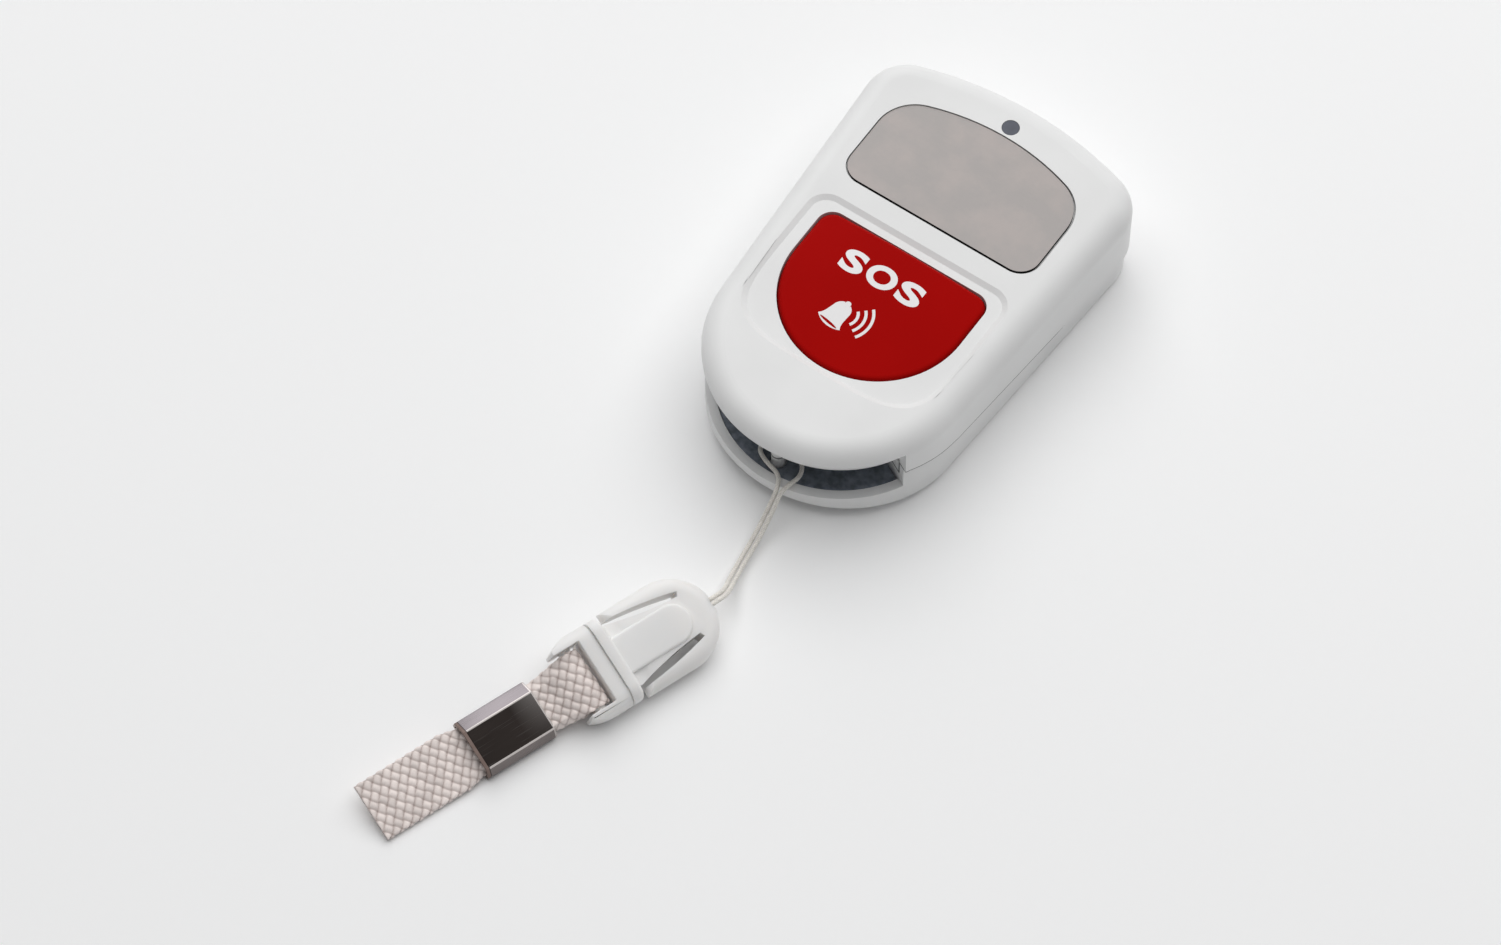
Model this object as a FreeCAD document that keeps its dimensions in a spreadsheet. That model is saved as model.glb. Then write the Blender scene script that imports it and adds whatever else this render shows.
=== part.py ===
import FreeCAD, Part
import math
import operator
import os
import Sketcher

# Wireless panic button on a wrist strap, lying on its back, face up, millimetres
# +Z is out of the face, +Y runs to the signal lamp, -Y to the lanyard, the origin is under the housing's middle

Vector = FreeCAD.Vector
UP = Vector(0, 0, 1)

# Driving sizes: name, value, what it measures
SIZES = [
    # outline of the housing, seen from above
    ("half_width", 19.3, "half the housing's width across its shoulders"),
    ("end_radius", 17.2, "round end at the lanyard"),
    ("end_centre", 12.6, "centre of the round end, below the origin"),
    ("top_apex", 29.8, "middle of the curved top edge, above the origin"),
    ("top_radius", 50.0, "curve of the top edge"),
    ("shoulder_radius", 6.0, "corners between the sides and the top edge"),
    # heights and walls
    ("height", 15.0, "back to face"),
    ("seam", 5.0, "height of the seam between the two shells"),
    ("wall", 1.6, "side wall of the front shell"),
    ("face_wall", 1.5, "thickness of the face"),
    ("floor_wall", 1.5, "thickness of the back"),
    ("face_round", 3.0, "rounding where the face meets the sides"),
    ("inner_round", 1.4, "the same rounding inside"),
    ("seam_step", 0.5, "how far the back shell stands inside the front one"),
    ("seam_bevel", 1.5, "height of the bevel above the seam"),
    ("back_wall", 2.0, "side wall of the back shell"),
    ("back_round", 0.9, "rounding of the back's edge"),
    ("joint_gap", 0.1, "clearance of the lapped joint"),
    ("lap_height", 1.0, "height of the lap inside the front shell"),
    ("lap_wall", 0.8, "thickness of the lap"),
    ("rise_start", 15.0, "where the seam starts to rise, above the origin"),
    ("rise_turn", 12.0, "where it rises faster, below the origin"),
    ("rise_turn_z", 6.9, "its height there"),
    ("rise_end", 20.0, "end of its rise, below the origin"),
    ("rise_top", 8.6, "its height beside the slot"),
    ("slot_seam", 6.2, "its height inside the slot's end walls"),
    ("heel_round", 3.8, "rounding of the back under the lanyard end"),
    ("heel_shift", 1.6, "its centre, from the round end's centre"),
    # lanyard slot
    ("slot_half_angle", 62.0, "half the slot's spread round the end, degrees"),
    ("slot_wall_angle", 4.0, "thickness of the slot's end walls, degrees"),
    ("slot_top", 9.2, "lower edge of the front shell over the slot"),
    ("slot_floor", 3.4, "floor of the slot in the back shell"),
    ("lip_top", 4.6, "top of the lip under the slot"),
    ("lip_wall", 1.2, "wall of the lip"),
    ("brow_back", 1.9, "how far the wall over the slot stands back from the end"),
    ("brow_wall", 1.6, "thickness of the wall over the slot"),
    ("brow_drop", 2.25, "where the brow turns in, below the face"),
    ("brow_turn_in", 0.08, "how far in from the end the brow turns"),
    ("post_back", 2.2, "lanyard post, from the wall behind the slot"),
    ("post_radius", 0.9, "lanyard post"),
    ("post_seat_radius", 1.6, "seat of the post in the front shell"),
    ("post_gap", 0.1, "clearance over the post"),
    # red button and the shallow dish round it
    ("button_half", 12.15, "half the button's width, and its round lower edge"),
    ("button_top", 2.4, "upper edge of the button, above the origin"),
    ("button_centre", 4.8, "centre of its round lower edge, below the origin"),
    ("button_corner", 2.0, "upper corners of the button"),
    ("button_gap", 0.2, "gap round the button"),
    ("button_proud", 0.3, "how far the button's middle stands over the face"),
    ("button_crown", 130.0, "radius of the crowned top"),
    ("button_edge", 0.6, "rounding of the button's edge"),
    ("button_wall", 1.2, "walls of the button"),
    ("button_skin", 1.3, "thickness of the button's top"),
    ("flange_out", 0.8, "flange that keeps the button in"),
    ("flange_height", 0.8, "thickness of the flange"),
    ("stop_gap", 0.1, "gap between the flange and the face's inner side"),
    ("presser_radius", 2.2, "boss that meets the switch"),
    ("presser_length", 0.8, "length of that boss"),
    ("dish_margin", 1.95, "dish beyond the button's sides"),
    ("dish_top", 4.3, "upper edge of the dish, above the origin"),
    ("dish_centre", 4.2, "centre of its round end, below the origin"),
    ("dish_corner", 2.9, "upper corners of the dish"),
    ("dish_depth", 0.4, "depth of the dish"),
    ("dish_slope", 60.0, "slope of the dish's edge, degrees from upright"),
    # bare metal plate
    ("plate_margin", 5.3, "from the plate to the housing's sides"),
    ("plate_bottom", 7.5, "lower edge of the plate"),
    ("plate_below_top", 6.5, "from the plate to the housing's top edge"),
    ("plate_arc", 32.0, "radius of the top edge"),
    ("plate_shoulder", 5.5, "upper corners"),
    ("plate_corner", 2.7, "lower corners"),
    ("plate_gap", 0.25, "gap round the plate"),
    ("plate_thickness", 0.5, "sheet thickness"),
    ("glue_thickness", 0.15, "adhesive film under the plate"),
    ("glue_inset", 0.6, "how far the film stays inside the plate's edge"),
    ("plate_pocket", 0.8, "depth of the plate's pocket"),
    # signal lamp
    ("lamp_below_top", 4.8, "signal lamp, from the housing's top edge"),
    ("lens_radius", 1.1, "light guide in the face"),
    ("lens_gap", 0.05, "clearance round the light guide"),
    ("lens_flange", 1.8, "radius of its flange"),
    ("lens_flange_height", 0.5, "thickness of its flange"),
    ("lens_sunk", 0.05, "how far its end lies under the face"),
    ("led_radius", 1.5, "light-emitting diode"),
    ("led_rim", 1.9, "rim at its foot"),
    ("led_rim_height", 0.8, "thickness of the rim"),
    ("led_gap", 0.2, "air between the diode and the light guide"),
    # screws
    ("screw_below_top", 8.5, "upper screws, from the housing's top edge"),
    ("screw_in", 4.3, "lower screws, from the housing's side"),
    ("boss_radius", 2.1, "screw bosses of the front shell"),
    ("tube_radius", 2.4, "screw tubes of the back shell"),
    ("screw_radius", 0.85, "screw"),
    ("screw_gap", 0.05, "clearance round the screw"),
    ("screw_reach", 11.6, "height of the screw's point"),
    ("head_radius", 1.6, "screw head"),
    ("head_gap", 0.2, "clearance round the head"),
    ("head_sunk", 0.3, "how far the head lies inside the back"),
    ("head_seat", 1.4, "depth of the head's seat"),
    ("cross_long", 1.9, "length of the cross recess"),
    ("cross_wide", 0.45, "width of the cross recess"),
    ("cross_deep", 0.7, "depth of the cross recess"),
    # dark inner tray
    ("tray_gap", 0.2, "clearance round the tray"),
    ("tray_floor", 0.8, "thickness of the tray"),
    ("bulkhead_wall", 1.0, "wall behind the slot"),
    ("slot_depth", 6.0, "depth of the slot, from the end"),
    ("bulkhead_spread", 2.0, "how far that wall runs past the slot, degrees"),
    ("cell_ring_wall", 0.8, "wall of the ring round the cell"),
    ("cell_ring_height", 2.7, "height of the ring"),
    ("pillar_radius", 1.2, "pillars under the circuit board"),
    ("peg_radius", 0.6, "pegs through the circuit board"),
    ("peg_height", 0.7, "pegs above the circuit board"),
    ("pillar_in_top", 1.4, "upper pillars, from the board's sides"),
    ("pillar_below_top", 2.0, "upper pillars, from the board's upper edge"),
    ("pillar_in_low", 1.8, "lower pillars, from the board's sides"),
    ("pillar_y_low", 8.5, "lower pillars, below the origin"),
    # circuit board
    ("board_gap", 0.1, "from the board to the screw tubes"),
    ("board_low_gap", 1.8, "from the board to the wall behind the slot"),
    ("board_below_top", 3.2, "from the board to the housing's top edge"),
    ("board_low_corner", 9.0, "lower corners"),
    ("board_top_corner", 1.0, "upper corners"),
    ("board_z", 7.2, "underside of the board"),
    ("board_thickness", 1.2, "thickness of the board"),
    ("peg_gap", 0.1, "clearance round the pegs"),
    # push switch
    ("switch_y", 6.0, "switch, below the origin"),
    ("switch_side", 6.0, "body of the switch"),
    ("switch_cover", 0.3, "sheet over the body"),
    ("plunger_radius", 1.75, "plunger of the switch"),
    ("plunger_gap", 0.08, "clearance round the plunger"),
    ("plunger_proud", 0.95, "plunger above the cover"),
    ("plunger_hidden", 0.5, "plunger inside the body"),
    ("stroke", 0.5, "travel of the button and the plunger"),
    ("touch_gap", 0.05, "gap between the boss and the plunger"),
    # coin cell and its contacts
    ("cell_y", 11.5, "middle of the cell, above the origin"),
    ("cell_radius", 10.0, "coin cell, 20 mm across"),
    ("cell_height", 3.2, "coin cell, 3.2 mm thick"),
    ("cell_cap_radius", 8.8, "its smaller pole"),
    ("cell_cap_height", 0.3, "height of the smaller pole"),
    ("cell_gap", 0.2, "clearance round the cell"),
    ("contact_thickness", 0.3, "contact sheet"),
    ("contact_width", 4.0, "width of the contacts"),
    ("contact_foot", 1.6, "length of the feet on the board"),
    ("clip_half", 8.5, "half the length of the upper contact"),
    ("clip_flat", 3.0, "half the length of its flat middle"),
    ("contact_reach", 6.0, "lower contact under the cell, past the ring"),
    ("contact_clear", 0.6, "lower contact outside the ring"),
    # parts on the board
    ("radio_side", 5.0, "radio chip"),
    ("radio_height", 0.9, "radio chip"),
    ("radio_x", 5.2, "radio chip, to the right"),
    ("radio_y", 12.0, "radio chip"),
    ("coder_length", 5.0, "code chip"),
    ("coder_width", 4.0, "code chip"),
    ("coder_height", 1.5, "code chip"),
    ("coder_x", 5.4, "code chip, to the left"),
    ("coder_y", 12.0, "code chip"),
    ("leg_length", 1.0, "legs of the code chip"),
    ("leg_width", 0.4, "legs of the code chip"),
    ("leg_height", 0.3, "legs of the code chip"),
    ("leg_pitch", 1.27, "legs of the code chip"),
    ("crystal_length", 5.0, "crystal in its can"),
    ("crystal_width", 3.2, "crystal in its can"),
    ("crystal_height", 1.1, "crystal in its can"),
    ("crystal_x", 5.2, "crystal, to the right"),
    ("crystal_y", 6.5, "crystal"),
    ("chip_length", 1.6, "small chip parts"),
    ("chip_width", 0.8, "small chip parts"),
    ("chip_height", 0.8, "small chip parts"),
    ("chip_pitch", 2.2, "small chip parts, one to the next"),
    ("chip_x", 7.6, "first small chip part, to the left"),
    ("chip_y", 7.0, "row of small chip parts"),
    ("aerial_radius", 0.3, "aerial wire"),
    ("aerial_half", 8.2, "half the aerial's length"),
    ("aerial_y", 19.0, "feet of the aerial"),
    ("aerial_depth", 2.0, "aerial's bow towards the top"),
    ("aerial_z", 10.6, "height of the aerial"),
    # snap connector of the strap, measured from its nose
    ("snap_x", 3.68, "nose of the connector"),
    ("snap_y", 46.44, "nose of the connector, below the origin"),
    ("snap_angle", 20.0, "its turn to the left, degrees"),
    ("snap_lean", 20.0, "its lean to the right, degrees"),
    ("snap_lift", 1.34, "height of its underside's middle over the table"),
    ("snap_half", 5.9, "half its width"),
    ("snap_bottom", 0.4, "underside of its arms"),
    ("snap_arm_height", 4.0, "height of its arms"),
    ("snap_arm_round", 1.9, "rounding of its arms"),
    ("arm_end", 13.1, "free ends of its arms"),
    ("gap_start", 3.5, "start of the gaps beside the middle"),
    ("gap_tip", 2.6, "their inner corner at the nose"),
    ("gap_width", 0.6, "their width at the nose"),
    ("gap_end", 13.7, "end of these gaps"),
    ("gap_outer", 4.8, "their outer wall at the end"),
    ("gap_inner", 4.4, "their inner wall at the end"),
    ("gap_outer_bow", 55.0, "radius of the outer wall"),
    ("gap_inner_bow", 44.0, "radius of the inner wall"),
    ("neck_half", 4.25, "half the neck's width"),
    ("neck_start", 9.0, "start of the neck"),
    ("neck_bottom", 0.8, "underside of the neck"),
    ("neck_top", 4.2, "top of the neck"),
    ("core_half", 2.55, "half the raised middle's width"),
    ("core_start", 3.7, "start of the raised middle"),
    ("core_height", 4.85, "height of the raised middle"),
    ("core_round", 0.4, "rounding of the raised middle"),
    ("collar_start", 13.8, "start of the collar"),
    ("collar_end", 15.3, "face where the two halves meet"),
    ("collar_half", 5.75, "half the collar's width"),
    ("collar_bottom", 0.25, "underside of the collar"),
    ("collar_height", 5.35, "top of the collar"),
    ("collar_corner", 2.1, "rounding of its corners"),
    ("collar_round", 0.45, "rounding of the collar's rim"),
    ("eye_radius", 0.95, "hole of the cord in the nose"),
    ("eye_depth", 2.0, "depth of that hole"),
    ("eye_z", 2.8, "height of that hole"),
    ("tongue_half", 2.1, "half the tongue's width"),
    ("tongue_thick", 2.0, "thickness of the tongue"),
    ("tongue_length", 8.8, "tongue inside the first half"),
    ("tongue_gap", 0.15, "clearance round the tongue"),
    ("tongue_tip", 0.6, "bevel of the tongue's tip"),
    ("bar_end", 17.3, "end of the front bar"),
    ("frame_half", 5.75, "half the strap half's width"),
    ("frame_end", 20.9, "end of its ears"),
    ("frame_bottom", 0.35, "underside of the front bar"),
    ("frame_height", 4.95, "top of the front bar"),
    ("frame_corner", 2.0, "rounding of its corners"),
    ("frame_round", 0.3, "rounding of its front rim"),
    ("frame_slot_half", 4.25, "half the width between its ears"),
    ("ear_turn", 17.6, "where the ears start to round in"),
    ("ear_tip_half", 4.75, "half the width across the ears' ends"),
    ("pin_hold", 0.8, "ends of the strap's bar inside the ears"),
    ("fold_gap", 0.15, "air between the fold and the front bar"),
    ("pin_radius", 0.8, "bar that holds the strap"),
    ("pin_z", 2.6, "height of that bar"),
    # strap and its metal crimp
    ("strap_half", 3.9, "half the strap's width"),
    ("strap_thick", 0.75, "thickness of the strap"),
    ("strap_end", 49.2, "cut end of the strap"),
    ("strap_wrap_gap", 0.05, "air between the strap and the bar"),
    ("strap_fold", 1.4, "how far the fold runs back from the bar"),
    ("layer_gap", 0.06, "air between the two layers"),
    ("strap_lift", 0.02, "strap above the table"),
    ("tail_inside", 1.2, "end of the upper layer, inside the crimp"),
    ("fold_soft", 2.0, "rounding of the strap's bends"),
    ("crimp_start", 24.9, "upper end of the crimp"),
    ("crimp_length", 10.0, "length of the crimp"),
    ("crimp_half", 3.9, "half the crimp's width"),
    ("crimp_top_left", 2.2, "its flat top, left of the middle"),
    ("crimp_top_right", 3.0, "its flat top, right of the middle"),
    ("crimp_gap", 0.06, "air beside the squeezed strap inside it"),
    ("crimp_shoulder", 1.1, "height where its bevels start"),
    ("crimp_height", 2.45, "height of the crimp"),
    ("crimp_wall", 0.42, "sheet thickness of the crimp"),
    # cord
    ("cord_radius", 0.3, "thin cord"),
]

# Route of the cord's middle line: from the nose of the connector, round the post and back
CORD_ROUTE = [
    (3.78, -48.07, 4.08), (4.53, -45.97, 4.05), (4.55, -44.2, 2.95), (3.75, -41.9, 1.6), (3.1, -39.0, 0.9),
    (2.8, -35.9, 1.2), (2.6, -33.2, 2.25), (2.5, -31.2, 3.75), (2.4, -29.6, 5.1), (1.5, -28.0, 5.2),
    (-0.9, -27.4, 5.1), (-2.7, -26.4, 5.0), (-2.6, -24.9, 5.0), (-0.9, -24.35, 5.1), (1.2, -24.4, 5.3),
    (3.1, -25.2, 5.4), (3.9, -26.8, 5.3), (3.4, -28.4, 5.2), (3.1, -29.9, 5.1), (3.2, -31.4, 3.75),
    (3.3, -33.3, 2.25), (3.55, -36.0, 1.2), (3.8, -39.0, 0.9), (4.45, -41.9, 1.6), (5.2, -44.3, 2.9),
    (5.1, -46.17, 3.85), (4.36, -48.29, 3.86),
]

doc = FreeCAD.newDocument("panic_button")
sheet = doc.addObject("Spreadsheet::Sheet", "Sizes")
for row, (alias, value, meaning) in enumerate(SIZES, 1):
    sheet.set(f"A{row}", alias)
    sheet.set(f"B{row}", str(value))
    sheet.set(f"C{row}", meaning)
    sheet.setAlias(f"B{row}", alias)
doc.recompute()

SIGNS = {"+": operator.add, "-": operator.sub, "*": operator.mul, "/": operator.truediv}


class Size:
    """A number together with the expression of sheet cells that gives it."""

    def __init__(self, number, text):
        self.number = number
        self.text = text

    def mix(self, other, sign, turned=False):
        other = as_size(other)
        first, second = (other, self) if turned else (self, other)
        number = SIGNS[sign](first.number, second.number)
        return Size(number, f"({first.text} {sign} {second.text})")

    def __add__(self, other):
        return self.mix(other, "+")

    def __radd__(self, other):
        return self.mix(other, "+", True)

    def __sub__(self, other):
        return self.mix(other, "-")

    def __rsub__(self, other):
        return self.mix(other, "-", True)

    def __mul__(self, other):
        return self.mix(other, "*")

    def __rmul__(self, other):
        return self.mix(other, "*", True)

    def __truediv__(self, other):
        return self.mix(other, "/")

    def __neg__(self):
        return Size(-self.number, f"(-{self.text})")


def as_size(value):
    return value if isinstance(value, Size) else Size(float(value), repr(value))


def root(size):
    return Size(math.sqrt(size.number), f"sqrt({size.text})")


def sine(degrees):
    return Size(math.sin(math.radians(degrees.number)), f"sin({degrees.text})")


def cosine(degrees):
    return Size(math.cos(math.radians(degrees.number)), f"cos({degrees.text})")


class SheetSizes:
    """Gives each named cell of the sheet as a Size."""

    def __getattr__(self, name):
        return Size(float(sheet.get(name)), f"Sizes.{name}")


s = SheetSizes()

# Places and levels that several pieces share
end_y = -s.end_centre
ceiling = s.height - s.face_wall
bulkhead_outer = s.end_radius - s.slot_depth
bulkhead_inner = bulkhead_outer - s.bulkhead_wall
lip_inner = s.end_radius - s.seam_step - s.lip_wall
brow_radius = s.end_radius - s.brow_back
rise_inner = s.end_radius - s.wall - s.joint_gap - s.lap_wall / 2
past_end = s.end_centre + s.end_radius + s.wall
rise_line = [(s.rise_start, s.seam), (-s.rise_turn, s.rise_turn_z), (-s.rise_end, s.rise_top), (-past_end, s.rise_top)]
chamber_inner = bulkhead_outer + s.tray_gap
post_y = end_y - bulkhead_outer - s.post_back
tray_inset = s.seam_step + s.back_wall + s.tray_gap
tray_top = s.floor_wall + s.tray_floor
screw_x_top = s.half_width - s.shoulder_radius
screw_y_top = s.top_apex - s.screw_below_top
screw_x_low = s.end_radius - s.screw_in
lamp_y = s.top_apex - s.lamp_below_top
board_half = screw_x_low - s.tube_radius - s.board_gap
board_low = end_y - bulkhead_inner + s.board_low_gap
board_top = s.top_apex - s.board_below_top
board_top_z = s.board_z + s.board_thickness
presser_bottom = s.height - s.button_skin - s.presser_length
plunger_top = presser_bottom - s.touch_gap
switch_top = plunger_top - s.plunger_proud
cover_z = switch_top - s.switch_cover
flange_bottom = ceiling - s.stop_gap - s.flange_height
strap_wrap = s.pin_radius + s.strap_wrap_gap + s.strap_thick
pin_place = s.bar_end + s.fold_gap + strap_wrap
screw_places = [
    (screw_x_top, screw_y_top),
    (-screw_x_top, screw_y_top),
    (screw_x_low, end_y),
    (-screw_x_low, end_y),
]
pillar_places = [
    (board_half - s.pillar_in_top, board_top - s.pillar_below_top),
    (s.pillar_in_top - board_half, board_top - s.pillar_below_top),
    (board_half - s.pillar_in_low, -s.pillar_y_low),
    (s.pillar_in_low - board_half, -s.pillar_y_low),
]
pieces = []


def keep(piece, name):
    """Names a finished sub-part, which becomes a file of that name."""
    piece.Label = name
    pieces.append(piece)
    return piece


def bind(thing, prop, size):
    thing.setExpression(prop, as_size(size).text)


def place(thing, x, y, z):
    for axis, size in zip("xyz", (x, y, z)):
        bind(thing, f"Placement.Base.{axis}", size)
    return thing


# Sketches whose points and radii are all bound to the sheet


def new_body(name):
    return keep(doc.addObject("PartDesign::Body", name), name)


def sketch_on(body, name, lift=0.0, plane="XY_Plane", shift=None):
    sketch = body.newObject("Sketcher::SketchObject", name)
    support = [f for f in body.Origin.OriginFeatures if f.Role == plane][0]
    sketch.AttachmentSupport = [(support, "")]
    sketch.MapMode = "FlatFace"
    bind(sketch, "AttachmentOffset.Base.z", lift)
    if shift is not None:
        bind(sketch, "AttachmentOffset.Base.x", shift)
    return sketch


def hold(sketch, kind, where, size):
    """Adds one dimension and binds it to the sheet."""
    number = sketch.addConstraint(Sketcher.Constraint(kind, *where, size.number))
    sketch.setExpression(f"Constraints[{number}]", size.text)


def hold_point(sketch, element, point, x, y):
    """Holds one point of an element at x, y from the sketch's origin."""
    for kind, axis, size in (("DistanceX", -2, as_size(x)), ("DistanceY", -1, as_size(y))):
        if abs(size.number) < 1e-9:
            sketch.addConstraint(Sketcher.Constraint("PointOnObject", element, point, axis))
        else:
            hold(sketch, kind, (-1, 1, element, point), size)


def spot(x, y):
    return Vector(as_size(x).number, as_size(y).number, 0)


def draw(sketch, corners, arcs=None):
    """Draws a closed loop through corners. arcs gives side: (centre, radius, anticlockwise)."""
    arcs = arcs or {}
    ends = []
    for side, corner in enumerate(corners):
        start, finish = spot(*corner), spot(*corners[(side + 1) % len(corners)])
        if side in arcs:
            centre, radius, anticlockwise = arcs[side]
            middle = spot(*centre)
            angles = [math.atan2(p.y - middle.y, p.x - middle.x) for p in (start, finish)]
            disc = Part.Circle(middle, UP, as_size(radius).number)
            element = sketch.addGeometry(Part.ArcOfCircle(disc, *(angles if anticlockwise else angles[::-1])))
            if abs((finish - start).Length - disc.Radius * 2) < 1e-6:
                hold(sketch, "DistanceY", (-1, 1, element, 3), as_size(centre[1]))
            else:
                hold(sketch, "Radius", (element,), as_size(radius))
            ends.append((element, 1, 2) if anticlockwise else (element, 2, 1))
        else:
            ends.append((sketch.addGeometry(Part.LineSegment(start, finish)), 1, 2))
    for side, (element, first, last) in enumerate(ends):
        before, _, before_last = ends[side - 1]
        sketch.addConstraint(Sketcher.Constraint("Coincident", before, before_last, element, first))
        hold_point(sketch, element, first, *corners[side])
    return sketch


def circle(sketch, x, y, radius):
    element = sketch.addGeometry(Part.Circle(spot(x, y), UP, as_size(radius).number))
    hold(sketch, "Radius", (element,), as_size(radius))
    hold_point(sketch, element, 3, x, y)
    return sketch


def rectangle(sketch, x_low, y_low, x_high, y_high):
    return draw(sketch, [(x_low, y_low), (x_high, y_low), (x_high, y_high), (x_low, y_high)])


def outline(sketch, inset):
    """Outline of the housing moved in by inset: round end, straight sides, shoulders and curved top."""
    inset = as_size(inset)
    shoulder_x = s.half_width - s.shoulder_radius
    top_y = s.top_apex - s.top_radius
    shoulder_y = top_y + root((s.top_radius - s.shoulder_radius) * (s.top_radius - s.shoulder_radius) - shoulder_x * shoulder_x)
    away = spot(shoulder_x, shoulder_y - end_y)
    low = math.atan2(away.y, away.x) - math.acos((s.end_radius - s.shoulder_radius).number / away.Length)
    high = math.atan2(shoulder_y.number - top_y.number, shoulder_x.number)
    centres = [spot(0, end_y), spot(shoulder_x, shoulder_y), spot(0, top_y), spot(-shoulder_x, shoulder_y)]
    radii = [s.end_radius - inset, s.shoulder_radius - inset, s.top_radius - inset, s.shoulder_radius - inset]
    spans = [(math.pi - low, 2 * math.pi + low), (low, high), (high, math.pi - high), (math.pi - high, math.pi - low)]
    end, right, top, left = [
        sketch.addGeometry(Part.ArcOfCircle(Part.Circle(centre, UP, radius.number), *span))
        for centre, radius, span in zip(centres, radii, spans)
    ]
    arc = sketch.Geometry
    right_side = sketch.addGeometry(Part.LineSegment(arc[end].EndPoint, arc[right].StartPoint))
    left_side = sketch.addGeometry(Part.LineSegment(arc[left].EndPoint, arc[end].StartPoint))
    joins = [(end, 2, right_side, 1), (right_side, 2, right, 1), (right, 2, top, 1), (top, 2, left, 1)]
    for join in joins + [(left, 2, left_side, 1), (left_side, 2, end, 1)]:
        sketch.addConstraint(Sketcher.Constraint("Tangent", *join))
    for element, radius in zip((end, right, top, left), radii):
        hold(sketch, "Radius", (element,), radius)
    hold_point(sketch, end, 3, 0, end_y)
    hold_point(sketch, top, 3, 0, top_y)
    hold(sketch, "DistanceX", (-1, 1, right, 3), shoulder_x)
    hold(sketch, "DistanceX", (-1, 1, left, 3), -shoulder_x)
    return sketch


def sector(sketch, inner, outer, half_angle):
    """Part of a ring about the centre of the round end, half_angle degrees each side of -Y."""
    across, along = sine(half_angle), cosine(half_angle)
    corners = [
        (-inner * across, end_y - inner * along),
        (-outer * across, end_y - outer * along),
        (outer * across, end_y - outer * along),
        (inner * across, end_y - inner * along),
    ]
    centre = (0, end_y)
    return draw(sketch, corners, {1: (centre, outer, True), 3: (centre, inner, False)})


def dee(sketch, half, top, centre, corner):
    """Letter D lying on its back: straight upper edge, round lower edge of radius half."""
    corners = [
        (half, -centre), (half, top - corner), (half - corner, top),
        (corner - half, top), (-half, top - corner), (-half, -centre),
    ]
    arcs = {
        1: ((half - corner, top - corner), corner, True),
        3: ((corner - half, top - corner), corner, True),
        5: ((0, -centre), half, True),
    }
    return draw(sketch, corners, arcs)


def plate_shape(sketch, grown):
    """Outline of the metal plate, moved out by grown."""
    half, bottom = s.half_width - s.plate_margin + grown, s.plate_bottom - grown
    corner, shoulder, arc = s.plate_corner + grown, s.plate_shoulder + grown, s.plate_arc + grown
    arc_y = s.top_apex - s.plate_below_top - s.plate_arc
    shoulder_x = half - shoulder
    rise = root((arc - shoulder) * (arc - shoulder) - shoulder_x * shoulder_x)
    share = arc / (arc - shoulder)
    corners = [
        (corner - half, bottom), (half - corner, bottom), (half, bottom + corner), (half, arc_y + rise),
        (shoulder_x * share, arc_y + rise * share), (-(shoulder_x * share), arc_y + rise * share),
        (-half, arc_y + rise), (-half, bottom + corner),
    ]
    arcs = {
        1: ((half - corner, bottom + corner), corner, True),
        3: ((shoulder_x, arc_y + rise), shoulder, True),
        4: ((0, arc_y), arc, True),
        5: ((-shoulder_x, arc_y + rise), shoulder, True),
        7: ((corner - half, bottom + corner), corner, True),
    }
    return draw(sketch, corners, arcs)


# Features of a body


def change(body, kind, name, sketch, settings, **sizes):
    """Adds one feature that grows or cuts the body, and makes sure that it does."""
    before = body.Shape.Volume if body.Tip else 0.0
    feature = body.newObject(kind, name)
    feature.Profile = sketch
    for prop, value in settings.items():
        setattr(feature, prop, value)
    for prop, size in sizes.items():
        bind(feature, prop, size)
    doc.recompute()
    if abs(body.Shape.Volume - before) < 1e-3:
        raise RuntimeError(f"{body.Label}: {name} changes nothing")
    return feature


def pad(body, name, sketch, length, **settings):
    return change(body, "PartDesign::Pad", name, sketch, settings, Length=length)


def cut_up(body, name, sketch, length, **settings):
    return change(body, "PartDesign::Pocket", name, sketch, {"Reversed": True, **settings}, Length=length)


def cut_down(body, name, sketch, length, **settings):
    return change(body, "PartDesign::Pocket", name, sketch, settings, Length=length)


def chosen_edges(feature, wanted):
    return [f"Edge{number}" for number, edge in enumerate(feature.Shape.Edges, 1) if wanted(edge)]


def round_off(body, name, radius, wanted):
    base = body.Tip
    feature = body.newObject("PartDesign::Fillet", name)
    feature.Base = (base, chosen_edges(base, wanted))
    bind(feature, "Radius", radius)
    doc.recompute()
    return feature


def at_height(size):
    """Picks the edges that lie flat at one height."""
    level = as_size(size).number

    def wanted(edge):
        box = edge.BoundBox
        return abs(box.ZMin - level) < 1e-3 and abs(box.ZMax - level) < 1e-3

    return wanted


def any_of(*tests):
    return lambda edge: any(test(edge) for test in tests)


# Front shell


def rise_sketch(body):
    return sketch_on(body, "rise_profile", -s.half_width, plane="YZ_Plane")


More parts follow.
